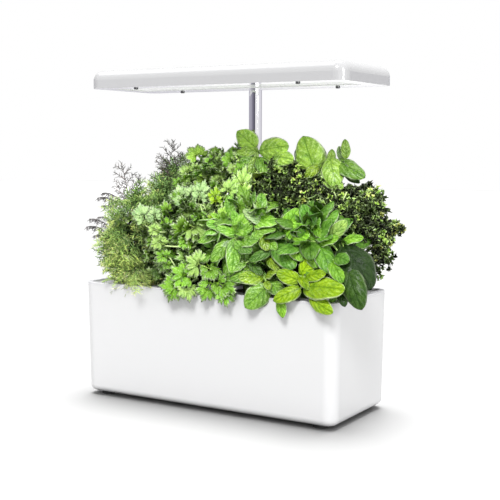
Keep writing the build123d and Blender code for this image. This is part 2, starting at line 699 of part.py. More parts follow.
for button_name, bx in (("power_button", -BUTTON_X), ("mode_button", BUTTON_X)):
    with BuildPart() as button:
        with BuildSketch(Plane.XY.offset(HOOD_Z + HOOD_H - HOOD_WALL - 2.6)):
            with Locations((bx, BUTTON_Y)):
                Circle(BUTTON_R + 1.2)
        extrude(amount=1.4)
        with BuildSketch(Plane.XY.offset(HOOD_Z + HOOD_H - HOOD_WALL - 1.2)):
            with Locations((bx, BUTTON_Y)):
                Circle(BUTTON_R)
        extrude(amount=HOOD_WALL + 2.2)
        fillet(button.edges().group_by(Axis.Z)[-1], 0.6)
        with BuildSketch(Plane.XY.offset(CONTROL_Z + 5.8)):
            with Locations((bx, BUTTON_Y)):
                Circle(1.6)
        extrude(amount=HOOD_Z + HOOD_H - HOOD_WALL - 2.6 - CONTROL_Z - 5.8)
    save(button, button_name)

with BuildPart() as mast_head:
    with BuildSketch(Plane.XY.offset(HOOD_Z + TRAY_T)):
        with Locations((MAST_X, MAST_Y)):
            RectangleRounded(42.0, 19.0, 4.0)
            Circle(INNER_R, mode=Mode.SUBTRACT)
        with Locations((-15.0, MAST_Y), (15.0, MAST_Y)):
            Circle(1.25, mode=Mode.SUBTRACT)
    extrude(amount=12.0)
save(mast_head, "mast_head")

with BuildPart() as hood_screws:
    # pan heads under the tray, threads up into the bosses
    with BuildSketch(Plane.XY.offset(HOOD_Z - 2.0)):
        with Locations(*[(x, y) for x in (-SCREW_X, SCREW_X) for y in SCREW_Y]):
            Circle(2.7)
    extrude(amount=2.0)
    fillet(hood_screws.edges().group_by(Axis.Z)[0], 0.9)
    with BuildSketch(Plane.XY.offset(HOOD_Z)):
        with Locations(*[(x, y) for x in (-SCREW_X, SCREW_X) for y in SCREW_Y]):
            Circle(1.5)
    extrude(amount=11.0)
    with BuildSketch(Plane.XY.offset(HOOD_Z - 2.0)):
        with Locations(*[(x, y) for x in (-SCREW_X, SCREW_X) for y in SCREW_Y]):
            Rectangle(3.0, 0.7)
            Rectangle(0.7, 3.0)
    extrude(amount=1.0, mode=Mode.SUBTRACT)
save(hood_screws, "hood_screws")

with BuildPart() as lamp_inner_screws:
    # six through the LED board into the tray's posts
    with BuildSketch(Plane.XY.offset(LED_Z - 3.4)):
        with Locations(*[(x, y) for x in (-140, 0, 140) for y in (-35.0, 39.0)]):
            Circle(1.0)
    extrude(amount=5.0)
    with BuildSketch(Plane.XY.offset(LED_Z + 1.6)):
        with Locations(*[(x, y) for x in (-140, 0, 140) for y in (-35.0, 39.0)]):
            Circle(1.9)
    extrude(amount=1.4)
    # two through the control board into the cover's posts
    with BuildSketch(Plane.XY.offset(CONTROL_Z)):
        with Locations((-32, BUTTON_Y), (32, BUTTON_Y)):
            Circle(1.0)
    extrude(amount=6.0)
    with BuildSketch(Plane.XY.offset(CONTROL_Z - 1.2)):
        with Locations((-32, BUTTON_Y), (32, BUTTON_Y)):
            Circle(1.9)
    extrude(amount=1.2)
    # two through the tray into the mast's head
    with BuildSketch(Plane.XY.offset(HOOD_Z + 0.3)):
        with Locations((-15.0, MAST_Y), (15.0, MAST_Y)):
            Circle(1.25)
    extrude(amount=10.0)
save(lamp_inner_screws, "lamp_inner_screws")

with BuildPart() as dc_inlet:
    # barrel through the back wall, body inside
    with BuildSketch(Plane.XZ.offset(-(HOOD_Y + HOOD_W / 2))):
        with Locations((JACK_X, JACK_Z)):
            Circle(4.0)
    extrude(amount=HOOD_WALL + 0.2)
    with BuildSketch(Plane.XZ.offset(-(HOOD_Y + HOOD_W / 2 - HOOD_WALL - 0.2))):
        with Locations((JACK_X, JACK_Z + 0.6)):
            Rectangle(9.0, 8.2)
    extrude(amount=11.0)
    with BuildSketch(Plane.XZ.offset(-(HOOD_Y + HOOD_W / 2))):
        with Locations((JACK_X, JACK_Z)):
            Circle(2.85)
    extrude(amount=10.5, mode=Mode.SUBTRACT)
    with BuildSketch(Plane.XZ.offset(-(HOOD_Y + HOOD_W / 2 - 10.5))):
        with Locations((JACK_X, JACK_Z)):
            Circle(0.8)
    extrude(amount=2.0, mode=Mode.SUBTRACT)
save(dc_inlet, "dc_inlet")

with BuildPart() as dc_pin:
    # free contact, from the bore's floor to just inside the mouth
    with BuildSketch(Plane.XZ.offset(-(HOOD_Y + HOOD_W / 2 - 1.0))):
        with Locations((JACK_X, JACK_Z)):
            Circle(1.05)
    extrude(amount=9.5)
    # thinner shank pressed into the floor
    with BuildSketch(Plane.XZ.offset(-(HOOD_Y + HOOD_W / 2 - 10.5))):
        with Locations((JACK_X, JACK_Z)):
            Circle(0.8)
    extrude(amount=1.8)
save(dc_pin, "dc_pin")
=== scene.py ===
"""Countertop hydroponic garden: white tank, planted deck, chrome mast and flat grow light.

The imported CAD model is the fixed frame. This script gives every CAD piece its finish and
grows the eight herbs, the sponge plugs and the coiled lead as meshes. Metres throughout.
"""
import json
import math

import bpy
import numpy as np
from mathutils import Matrix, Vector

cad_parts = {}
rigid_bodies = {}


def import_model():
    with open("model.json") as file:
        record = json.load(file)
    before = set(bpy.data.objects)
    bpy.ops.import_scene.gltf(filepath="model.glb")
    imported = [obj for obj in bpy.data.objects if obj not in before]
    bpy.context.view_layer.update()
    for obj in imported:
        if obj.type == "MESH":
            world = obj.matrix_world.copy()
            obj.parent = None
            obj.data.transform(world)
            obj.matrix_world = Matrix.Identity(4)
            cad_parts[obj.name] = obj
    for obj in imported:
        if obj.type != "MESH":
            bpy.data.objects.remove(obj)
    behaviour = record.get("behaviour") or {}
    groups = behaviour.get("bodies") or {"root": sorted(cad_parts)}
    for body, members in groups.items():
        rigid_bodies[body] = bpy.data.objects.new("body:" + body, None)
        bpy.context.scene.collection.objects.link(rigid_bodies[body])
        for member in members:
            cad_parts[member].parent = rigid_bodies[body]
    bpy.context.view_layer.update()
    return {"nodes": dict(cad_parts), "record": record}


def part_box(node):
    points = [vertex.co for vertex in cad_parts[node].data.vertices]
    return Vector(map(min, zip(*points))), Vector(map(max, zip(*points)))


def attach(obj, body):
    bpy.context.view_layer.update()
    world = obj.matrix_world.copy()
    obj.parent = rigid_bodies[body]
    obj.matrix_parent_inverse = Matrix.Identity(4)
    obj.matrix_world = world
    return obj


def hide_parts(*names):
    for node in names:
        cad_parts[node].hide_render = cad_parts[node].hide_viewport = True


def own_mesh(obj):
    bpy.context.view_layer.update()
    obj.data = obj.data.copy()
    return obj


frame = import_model()
nodes = frame["nodes"]

# ------------------------------------------------------------------ camera
YAW, PITCH, ROLL = math.radians(-31.42), math.radians(5.68), math.radians(0.16)
FOCAL = 1025.1  # in pixels of the 500 x 500 frame
EYE = np.array([0.6627, -1.0437, 0.3076])
LOOK = np.array([math.sin(YAW) * math.cos(PITCH), math.cos(YAW) * math.cos(PITCH), -math.sin(PITCH)])
_r = np.array([math.cos(YAW), -math.sin(YAW), 0.0])
_u = np.cross(_r, LOOK)
RIGHT = math.cos(ROLL) * _r + math.sin(ROLL) * _u
UP = -math.sin(ROLL) * _r + math.cos(ROLL) * _u

cam_data = bpy.data.cameras.new("camera")
cam_data.sensor_width = 36.0
cam_data.lens = FOCAL * 36.0 / 500.0
cam_data.clip_start, cam_data.clip_end = 0.05, 60.0
camera = bpy.data.objects.new("camera", cam_data)
bpy.context.scene.collection.objects.link(camera)
camera.matrix_world = Matrix(
    [[RIGHT[i], UP[i], -LOOK[i], EYE[i]] for i in range(3)] + [[0, 0, 0, 1]]
)
bpy.context.scene.camera = camera


def at(px, py, y_mm):
    """The point on the plane y = y_mm that the camera shows at pixel (px, py), in metres."""
    ray = LOOK + (px - 250.0) / FOCAL * RIGHT - (py - 250.0) / FOCAL * UP
    return EYE + ray * ((y_mm / 1000.0 - EYE[1]) / ray[1])


# ------------------------------------------------------------------ node helpers
def srgb(r, g, b):
    c = np.array([r, g, b], float) / 255.0
    return np.where(c <= 0.04045, c / 12.92, ((c + 0.055) / 1.055) ** 2.4)


class Tree:
    """A short way to write a Principled material as nodes."""

    def __init__(self, name):
        self.mat = bpy.data.materials.new(name)
        self.mat.use_nodes = True
        self.nt = self.mat.node_tree
        self.nt.nodes.clear()
        out = self.nt.nodes.new("ShaderNodeOutputMaterial")
        self.bsdf = self.nt.nodes.new("ShaderNodeBsdfPrincipled")
        self.nt.links.new(self.bsdf.outputs[0], out.inputs[0])
        coord = self.nt.nodes.new("ShaderNodeTexCoord")
        self.pos = coord.outputs["Object"]

    def put(self, socket, value):
        if hasattr(value, "is_linked") or isinstance(value, bpy.types.NodeSocket):
            self.nt.links.new(value, socket)
        elif isinstance(value, (tuple, list, np.ndarray)):
            v = [float(x) for x in value]
            socket.default_value = v + [1.0] if len(v) == 3 and len(socket.default_value) == 4 else v
        else:
            socket.default_value = value

    def math(self, op, a, b=0.0, c=0.0, clamp=False):
        n = self.nt.nodes.new("ShaderNodeMath")
        n.operation, n.use_clamp = op, clamp
        for s, v in zip(n.inputs, (a, b, c)):
            self.put(s, v)
        return n.outputs[0]

    def noise(self, scale, detail=3.0, rough=0.55, vector=None, distortion=0.0):
        n = self.nt.nodes.new("ShaderNodeTexNoise")
        n.inputs["Scale"].default_value = scale
        n.inputs["Detail"].default_value = detail
        n.inputs["Roughness"].default_value = rough
        n.inputs["Distortion"].default_value = distortion
        self.put(n.inputs["Vector"], self.pos if vector is None else vector)
        return n.outputs["Fac"]

    def cells(self, scale, feature="F1", vector=None, randomness=1.0):
        n = self.nt.nodes.new("ShaderNodeTexVoronoi")
        n.feature = feature
        n.inputs["Scale"].default_value = scale
        n.inputs["Randomness"].default_value = randomness
        self.put(n.inputs["Vector"], self.pos if vector is None else vector)
        return n.outputs["Distance"]

    def stretch(self, sx, sy, sz):
        n = self.nt.nodes.new("ShaderNodeMapping")
        n.inputs["Scale"].default_value = (sx, sy, sz)
        self.put(n.inputs["Vector"], self.pos)
        return n.outputs[0]

    def span(self, value, lo, hi, to_lo, to_hi):
        n = self.nt.nodes.new("ShaderNodeMapRange")
        for s, v in zip(n.inputs, (value, lo, hi, to_lo, to_hi)):
            self.put(s, v)
        return n.outputs[0]

    def blend(self, fac, a, b, mode="MIX"):
        n = self.nt.nodes.new("ShaderNodeMix")
        n.data_type, n.blend_type = "RGBA", mode
        ins = [s for s in n.inputs if s.enabled]
        self.put(ins[0], fac)
        self.put(ins[1], a)
        self.put(ins[2], b)
        return [s for s in n.outputs if s.enabled][0]

    def attribute(self, name, output):
        n = self.nt.nodes.new("ShaderNodeAttribute")
        n.attribute_name = name
        return n.outputs[output]

    def split(self, vector):
        n = self.nt.nodes.new("ShaderNodeSeparateXYZ")
        self.put(n.inputs[0], vector)
        return n.outputs[0], n.outputs[1], n.outputs[2]

    def bump(self, height, distance, strength=1.0):
        n = self.nt.nodes.new("ShaderNodeBump")
        n.inputs["Strength"].default_value = strength
        n.inputs["Distance"].default_value = distance
        self.put(n.inputs["Height"], height)
        self.put(self.bsdf.inputs["Normal"], n.outputs[0])

    def set(self, **values):
        names = {"color": "Base Color", "rough": "Roughness", "metal": "Metallic", "ior": "IOR",
                 "coat": "Coat Weight", "coat_rough": "Coat Roughness", "sheen": "Sheen Weight",
                 "sheen_rough": "Sheen Roughness", "spec": "Specular IOR Level",
                 "glow": "Emission Color", "glow_strength": "Emission Strength",
                 "aniso": "Anisotropic", "sss": "Subsurface Weight", "sss_scale": "Subsurface Scale"}
        for k, v in values.items():
            self.put(self.bsdf.inputs[names[k]], v)
        return self.mat


def moulded(name, color, rough, shade=0.04, grain=1400.0, depth=0.00002, coat=0.0, spec=0.5, cloud=9.0, rough_span=0.05):
    """Moulded plastic: slow shade change, fine mould grain, faint handling marks in the gloss."""
    t = Tree(name)
    c = np.array(color, float)
    slow = t.noise(cloud, 2.0)
    fine = t.noise(grain, 2.0, 0.6)
    mixed = t.blend(slow, c * (1 - shade), np.minimum(c * (1 + shade), 1.0))
    speck = t.blend(t.span(fine, 0.3, 0.7, 0.0, 1.0), mixed, t.blend(0.5, mixed, c * (1 - 1.5 * shade)))
    marks = t.noise(60.0, 4.0, 0.7, t.stretch(1.0, 1.0, 6.0))
    rough_value = t.span(marks, 0.3, 0.7, max(rough - rough_span, 0.02), rough + rough_span)
    t.bump(t.math("ADD", fine, t.math("MULTIPLY", t.noise(140.0, 2.0), 1.6)), depth, 0.6)
    return t.set(color=speck, rough=rough_value, coat=coat, coat_rough=0.08, spec=spec)


def metal(name, color, rough, brushed=(1.0, 1.0, 1.0), scratch=900.0, depth=0.000004, rough_span=0.04, tone=0.04):
    t = Tree(name)
    c = np.array(color, float)
    lines = t.noise(scratch, 3.0, 0.6, t.stretch(*brushed))
    haze = t.noise(35.0, 3.0)
    col = t.blend(haze, c * (1 - tone), np.minimum(c * (1 + tone), 1.0))
    t.bump(lines, depth, 0.5)
    return t.set(color=col, metal=1.0, rough=t.span(t.math("ADD", t.math("MULTIPLY", lines, 0.5), t.math("MULTIPLY", haze, 0.5)), 0.35, 0.65, max(rough - rough_span, 0.02), rough + rough_span))


def rubber(name, color, rough=0.7):
    t = Tree(name)
    c = np.array(color, float)
    pits = t.noise(2600.0, 3.0)
    dust = t.noise(45.0, 4.0, 0.7)
    col = t.blend(t.span(dust, 0.45, 0.75, 0.0, 0.6), c, c + 0.03)
    t.bump(pits, 0.00004, 0.7)
    return t.set(color=col, rough=t.span(dust, 0.3, 0.7, rough - 0.1, rough + 0.12), spec=0.35)


MATS = {}
MATS["tank_white"] = moulded("tank_gloss_white", (0.555, 0.555, 0.56), 0.16, shade=0.012, grain=900.0, depth=0.000006, coat=0.5, cloud=4.0, rough_span=0.03)
# The hood's white is a darker copy of the tank's gloss white: painted shade for its front face.
MATS["hood_white"] = moulded("hood_white_painted_shade", (0.41, 0.41, 0.415), 0.13, shade=0.012, grain=900.0, depth=0.000005, coat=0.3, cloud=4.0, rough_span=0.03)
# The tray's white is a far brighter copy of the same plastic: painted light for the underside, which the lamps barely
# reach.
MATS["tray_white"] = moulded("tray_white_painted_light", (0.94, 0.94, 0.94), 0.05, shade=0.02, grain=700.0, depth=0.000006, coat=0.8, cloud=6.0, rough_span=0.02)
MATS["deck_white"] = moulded("deck_satin_white", (0.52, 0.52, 0.53), 0.30, shade=0.02, depth=0.00002, coat=0.1)
MATS["cup_white"] = moulded("cup_satin_white", (0.70, 0.71, 0.70), 0.42, shade=0.05, grain=1600.0, depth=0.00003)
MATS["collar_grey"] = moulded("collar_grey_nylon", (0.26, 0.265, 0.28), 0.45, shade=0.06, grain=1800.0, depth=0.00003)
MATS["bush_white"] = moulded("bush_white_ptfe", (0.68, 0.68, 0.65), 0.55, shade=0.05)
MATS["pump_black"] = moulded("pump_black_abs", (0.018, 0.018, 0.020), 0.42, shade=0.25, grain=1500.0, depth=0.00003)
MATS["rotor_black"] = moulded("rotor_magnet", (0.028, 0.028, 0.032), 0.6, shade=0.3, grain=2200.0, depth=0.00004)
MATS["switch_black"] = moulded("switch_black_nylon", (0.015, 0.015, 0.016), 0.38, shade=0.25, grain=1700.0, depth=0.00003)
MATS["float_red"] = moulded("float_red_pp", (0.62, 0.035, 0.018), 0.36, shade=0.08, grain=1500.0, depth=0.00002)
MATS["button_grey"] = moulded("button_grey_abs", (0.50, 0.51, 0.53), 0.34, shade=0.04, grain=1700.0, depth=0.00003)
MATS["led_yellow"] = moulded("led_phosphor", (0.86, 0.55, 0.08), 0.45, shade=0.10, grain=3200.0, depth=0.00003, cloud=300.0)
MATS["rubber_black"] = rubber("foot_rubber", (0.012, 0.012, 0.012), 0.62)
MATS["lead_black"] = rubber("lead_pvc", (0.014, 0.014, 0.015), 0.45)
MATS["mast_chrome"] = metal("mast_chrome", (0.83, 0.82, 0.85), 0.045, brushed=(1.0, 1.0, 40.0), scratch=500.0, depth=0.0000012, rough_span=0.02, tone=0.02)
MATS["screw_steel"] = metal("screw_zinc", (0.56, 0.56, 0.58), 0.30, scratch=1800.0, depth=0.00002, rough_span=0.08, tone=0.1)
MATS["screw_dark"] = metal("screw_black_oxide", (0.13, 0.13, 0.135), 0.32, scratch=1800.0, depth=0.00002, rough_span=0.08, tone=0.2)
MATS["shaft_steel"] = metal("shaft_stainless", (0.62, 0.61, 0.60), 0.14, brushed=(1.0, 60.0, 1.0), scratch=700.0, depth=0.000003)


def lens_material():
    t = Tree("lens_frosted_acrylic")
    prism = t.cells(420.0, "F1", randomness=0.35)
    haze = t.noise(30.0, 3.0)
    col = t.blend(haze, (0.88, 0.885, 0.89), (0.92, 0.925, 0.93))
    t.bump(prism, 0.00006, 0.5)
    return t.set(color=col, rough=t.span(haze, 0.3, 0.7, 0.22, 0.34), coat=0.3, coat_rough=0.15)


def board_material(name, mask, copper, trace_scale, shift):
    """Solder mask with faint copper tracks under it."""
    t = Tree(name)
    v = t.stretch(trace_scale, trace_scale, 1.0)
    n = t.nt.nodes.new("ShaderNodeTexBrick")
    t.put(n.inputs["Vector"], v)
    n.inputs["Scale"].default_value = 1.0
    n.inputs["Mortar Size"].default_value = 0.05
    n.inputs["Color1"].default_value = (1, 1, 1, 1)
    n.inputs["Color2"].default_value = (0.8, 0.8, 0.8, 1)
    n.inputs["Mortar"].default_value = (0, 0, 0, 1)
    cloudy = t.noise(25.0, 3.0)
    tracks = t.math("MULTIPLY", n.outputs["Fac"], shift)
    col = t.blend(tracks, t.blend(cloudy, np.array(mask) * 0.92, np.minimum(np.array(mask) * 1.06, 1)), copper)
    t.bump(n.outputs["Fac"], 0.00003, 0.6)
    return t.set(color=col, rough=t.span(cloudy, 0.3, 0.7, 0.28, 0.42))


MATS["lens_frosted"] = lens_material()
MATS["board_aluminium"] = board_material("led_board_mask", (0.80, 0.80, 0.79), (0.70, 0.62, 0.42), 120.0, 0.5)
MATS["board_green"] = board_material("control_board_mask", (0.012, 0.11, 0.035), (0.06, 0.26, 0.09), 260.0, 0.9)

for part in frame["record"]["subparts"]:
    o, kind = nodes[part["node"]], part["material_slot"]
    # The tray takes the brighter copy of the white: painted light on the hood's underside.
    if part["node"] == "hood_tray":
        kind = "tray_white"
    if kind in MATS:
        o.data.materials.clear()
        o.data.materials.append(MATS[kind])


# ------------------------------------------------------------------ leaf finishes
def leaf_material(name, veins, slant, vein_depth, rough, coat, relief, rim_highlight_strength, highlight_flecks=0.40, fan=False, dome=0.5, mottle_and_relief_shade=1.0, rim_highlight_from=0.86, spec=0.25):
    """Tint per point from the mesh, then veins, flecks and relief from the leaf's own coordinates, with painted shade
    in the hollows and vein grooves and painted highlights on the puffs, in flecks and along the rim.
    """
    t = Tree(name)
    tint = t.attribute("tint", "Color")
    u, v, w = t.split(t.attribute("leaf", "Vector"))
    depth = t.split(t.attribute("tint", "Vector"))[1]
    side = t.math("ABSOLUTE", v)
    blade = t.math("GREATER_THAN", w, 0.001)
    patch = t.noise(110.0, 4.0, 0.65)
    blotch = t.noise(330.0, 3.0, 0.6)
    fine = t.noise(760.0, 3.0, 0.6)
    bend = t.span(patch, 0.3, 0.7, -0.22, 0.22)
    if fan:  # u is the share of the radius, v the share of the spread
        phase = t.math("MULTIPLY", v, veins)
        wave = t.math("ABSOLUTE", t.math("SUBTRACT", t.math("FRACT", t.math("ADD", phase, 100.5)), 0.5))
        lines = t.span(wave, 0.0, 0.11, 1.0, 0.0)
        rib = t.math("MULTIPLY", lines, t.span(u, 0.05, 0.95, 0.9, 0.2))
    else:
        mid = t.span(t.math("MULTIPLY", side, w), 0.012, 0.060, 1.0, 0.0)
        rise = t.math("MULTIPLY", t.math("POWER", side, 1.35), slant)
        phase = t.math("ADD", t.math("MULTIPLY", t.math("SUBTRACT", u, rise), veins), bend)
        wave = t.math("ABSOLUTE", t.math("SUBTRACT", t.math("FRACT", t.math("ADD", phase, 10.5)), 0.5))
        lines = t.math("MULTIPLY", t.span(wave, 0.0, 0.085, 1.0, 0.0), t.span(side, 0.05, 0.80, 0.85, 0.0))
        lines = t.math("MULTIPLY", lines, t.span(blotch, 0.38, 0.60, 0.15, 1.0))
        rib = t.math("MAXIMUM", mid, lines)
    rib = t.math("MULTIPLY", rib, blade)
    # light is a paler tint, the colour the painted highlights below are blended towards.
    light = t.blend(t.span(depth, 0.03, 0.50, 0.05, 0.62), t.blend(1.0, tint, (1.5, 1.35, 1.4), "MULTIPLY"), (0.70, 0.82, 0.46))
    # patch and blotch also shape the relief below. The leaf is darker where they are low and lighter where they are
    # high: partly its own mottle, partly painted shade in the hollows and light on the swells.
    shade = t.blend(t.span(patch, 0.34, 0.66, 0.0, 1.0), t.blend(mottle_and_relief_shade, tint, t.blend(1.0, tint, (0.60, 0.70, 0.56), "MULTIPLY")), t.blend(mottle_and_relief_shade, tint, t.blend(1.0, tint, (1.36, 1.24, 1.10), "MULTIPLY")))
    shade = t.blend(t.span(blotch, 0.36, 0.62, 0.62, 0.0), shade, t.blend(1.0, shade, (0.50, 0.60, 0.46), "MULTIPLY"))
    if not fan:
        # top: a painted highlight along one side of each puff between the veins.
        top = t.math("MULTIPLY", t.span(wave, 0.26, 0.46, 0.0, 1.0), t.math("MULTIPLY", t.span(side, 0.12, 0.35, 0.0, 1.0), t.span(side, 0.62, 0.90, 1.0, 0.0)))
        top = t.math("MULTIPLY", t.math("MULTIPLY", top, blade), t.span(blotch, 0.42, 0.62, 0.0, highlight_flecks + 0.05))
        shade = t.blend(top, shade, light)
    # Light flecks from fine noise are painted highlight specks; the dark specks on the next line are random tone.
    shade = t.blend(t.span(fine, 0.52, 0.66, 0.0, highlight_flecks), shade, light)
    shade = t.blend(t.span(fine, 0.34, 0.46, 0.45, 0.0), shade, t.blend(1.0, shade, (0.45, 0.55, 0.42), "MULTIPLY"))
    # Veins are darkened: partly their own tone, partly painted shade in the grooves the relief cuts along them.
    shade = t.blend(t.math("MULTIPLY", rib, vein_depth), shade, t.blend(1.0, tint, (0.34, 0.46, 0.26), "MULTIPLY"))
    # A lighter band along the leaf's edge, paler on pale tints: a painted rim highlight.
    rim_highlight_mask = t.math("MULTIPLY", t.span(side if not fan else u, rim_highlight_from, 0.97, 0.0, rim_highlight_strength), t.span(patch, 0.35, 0.60, 0.35, 1.0))
    shade = t.blend(t.math("MULTIPLY", rim_highlight_mask, blade), shade, t.blend(t.span(depth, 0.03, 0.36, 0.18, 0.80), tint, (0.86, 0.94, 0.68)))
    swell = t.math("POWER", t.math("MULTIPLY", wave, 2.0), 0.5)
    height = t.math("ADD", t.math("MULTIPLY", patch, 0.8), t.math("MULTIPLY", blotch, 0.7))
    height = t.math("ADD", height, t.math("MULTIPLY", fine, 0.15))
    height = t.math("ADD", height, t.math("MULTIPLY", swell, dome))
    height = t.math("SUBTRACT", height, t.math("MULTIPLY", rib, 0.35))
    t.bump(height, relief, 1.0)
    return t.set(color=shade, rough=t.span(patch, 0.3, 0.7, rough - 0.06, rough + 0.08), coat=coat, coat_rough=0.16, spec=spec)


MATS["leaf_basil"] = leaf_material("basil_leaf", 4.6, 0.42, 0.72, 0.28, 0.17, 0.0014, 0.90, highlight_flecks=0.46, rim_highlight_from=0.80)
MATS["leaf_basil_dark"] = leaf_material("dark_basil_leaf", 4.6, 0.42, 0.72, 0.30, 0.07, 0.0013, 0.85, highlight_flecks=0.14, rim_highlight_from=0.82, spec=0.12)
MATS["leaf_parsley"] = leaf_material("parsley_leaf", 4.5, 0.3, 0.40, 0.38, 0.05, 0.0006, 0.85, fan=True, dome=0.25, mottle_and_relief_shade=0.7, rim_highlight_from=0.78)
MATS["leaf_curly"] = leaf_material("curly_parsley_leaf", 4.5, 0.3, 0.25, 0.40, 0.0, 0.0004, 0.60, fan=True, dome=0.2, mottle_and_relief_shade=0.7, rim_highlight_from=0.66, spec=0.12)
MATS["leaf_dill"] = leaf_material("dill_frond", 5.0, 0.3, 0.2, 0.46, 0.0, 0.0002, 0.0, dome=0.0, mottle_and_relief_shade=0.6, highlight_flecks=0.25)
MATS["leaf_thyme"] = leaf_material("needle_sprig", 5.0, 0.3, 0.2, 0.46, 0.0, 0.0002, 0.0, dome=0.0, mottle_and_relief_shade=0.6, highlight_flecks=0.25)


def stem_material():
    t = Tree("herb_stem")
    tint = t.attribute("tint", "Color")
    long = t.noise(500.0, 3.0, 0.6, t.stretch(1.0, 1.0, 0.12))
    col = t.blend(t.span(long, 0.3, 0.7, 0.0, 1.0), t.blend(1.0, tint, (0.72, 0.80, 0.70), "MULTIPLY"), t.blend(1.0, tint, (1.2, 1.15, 1.1), "MULTIPLY"))
    t.bump(long, 0.0003, 0.7)
    return t.set(color=col, rough=t.span(long, 0.3, 0.7, 0.42, 0.58), spec=0.4)


MATS["stem"] = stem_material()


# ------------------------------------------------------------------ mesh helpers
def unit(v):
    v = np.asarray(v, float)
    return v / (np.linalg.norm(v, axis=-1, keepdims=True) + 1e-12)


class Heap:
    """Gathers many leaves or stems into one mesh with a tint and leaf coordinates at each point."""

    LIMIT = 165000  # triangles in one mesh

    def __init__(self):
        self.v, self.q, self.t, self.tint, self.leaf, self.n = [], [], [], [], [], 0
        self.count, self.full = 0, []

    def add(self, v, quads, tris, tint, leaf):
        v = np.asarray(v, float).reshape(-1, 3)
        more = 2 * len(quads) + len(tris)
        if self.n and self.count + more > self.LIMIT:
            self.full.append((self.v, self.q, self.t, self.tint, self.leaf))
            self.v, self.q, self.t, self.tint, self.leaf, self.n, self.count = [], [], [], [], [], 0, 0
        self.count += more
        self.v.append(v)
        if len(quads):
            self.q.append(np.asarray(quads, np.int64).reshape(-1, 4) + self.n)
        if len(tris):
            self.t.append(np.asarray(tris, np.int64).reshape(-1, 3) + self.n)
        self.tint.append(np.broadcast_to(np.asarray(tint, float), (len(v), 3)))
        self.leaf.append(np.broadcast_to(np.asarray(leaf, float), (len(v), 3)))
        self.n += len(v)

    def many(self, shape, origins, axes, tints):
        """One shape at many places: axes is (k, 3, 3), its columns the shape's x, y and z axes in the frame."""
        k, n = len(origins), len(shape["v"])
        v = np.einsum("kij,nj->kni", axes, shape["v"]) + np.asarray(origins)[:, None, :]
        step = (np.arange(k) * n)[:, None, None]
        quads = (shape["q"][None] + step).reshape(-1, 4) if len(shape["q"]) else []
        tris = (shape["t"][None] + step).reshape(-1, 3) if len(shape["t"]) else []
        tone = shape["tone"][None, :, :] * np.asarray(tints)[:, None, :]
        leaf = np.broadcast_to(shape["leaf"][None], (k, n, 3)).reshape(-1, 3)
        self.add(v.reshape(-1, 3), quads, tris, tone.reshape(-1, 3), leaf)

    def objects(self, name, material):
        """One object, or several where the leaves are many: name, name_2 and so on."""
        out = []
        for k, lists in enumerate(self.full + [(self.v, self.q, self.t, self.tint, self.leaf)]):
            out.append(self.build(name if k == 0 else f"{name}_{k + 1}", material, *lists))
        return out

    def object(self, name, material):
        return self.build(name, material, self.v, self.q, self.t, self.tint, self.leaf)

    @staticmethod
    def build(name, material, vs, qs, ts, tints, leafs):
        v = np.concatenate(vs)
        q = np.concatenate(qs) if qs else np.zeros((0, 4), np.int64)
        t = np.concatenate(ts) if ts else np.zeros((0, 3), np.int64)
        me = bpy.data.meshes.new(name)
        me.vertices.add(len(v))
        me.vertices.foreach_set("co", v.astype(np.float32).ravel())
        corner = np.concatenate([q.ravel(), t.ravel()]).astype(np.int32)
        me.loops.add(len(corner))
        me.loops.foreach_set("vertex_index", corner)
        start = np.concatenate([np.arange(len(q)) * 4, len(q) * 4 + np.arange(len(t)) * 3]).astype(np.int32)
        me.polygons.add(len(start))
        me.polygons.foreach_set("loop_start", start)
        me.update(calc_edges=True)
        me.polygons.foreach_set("use_smooth", np.ones(len(start), bool))
        a = me.attributes.new("tint", "FLOAT_COLOR", "POINT")
        rgba = np.ones((len(v), 4), np.float32)
        rgba[:, :3] = np.clip(np.concatenate(tints), 0, 1)
        a.data.foreach_set("color", rgba.ravel())
        b = me.attributes.new("leaf", "FLOAT_VECTOR", "POINT")
        b.data.foreach_set("vector", np.concatenate(leafs).astype(np.float32).ravel())
        me.materials.append(material)
        me.update()
        o = bpy.data.objects.new(name, me)
        bpy.context.scene.collection.objects.link(o)
        return o


def grid_quads(rows, cols):
    i = np.arange(rows - 1)[:, None] * cols + np.arange(cols - 1)[None, :]
    return np.stack([i, i + cols, i + cols + 1, i + 1], -1).reshape(-1, 4)


def shell(v, rows, cols, down, thick):
    """Closes a one-layer grid into a thin blade: the underside shares its rim and lies thick below."""
    quads = grid_quads(rows, cols)
    inner = np.zeros((rows, cols), bool)
    inner[1:-1, 1:-1] = True
    inner = inner.ravel()
    index = np.arange(rows * cols)
    under = index.copy()
    under[inner] = rows * cols + np.arange(inner.sum())
    v2 = np.concatenate([v, v[inner] - down[inner] * thick])
    q2 = np.concatenate([quads, under[quads][:, ::-1]])
    return v2, q2, np.concatenate([index, index[inner]]), np.concatenate([np.ones(rows * cols, bool), np.zeros(inner.sum(), bool)])


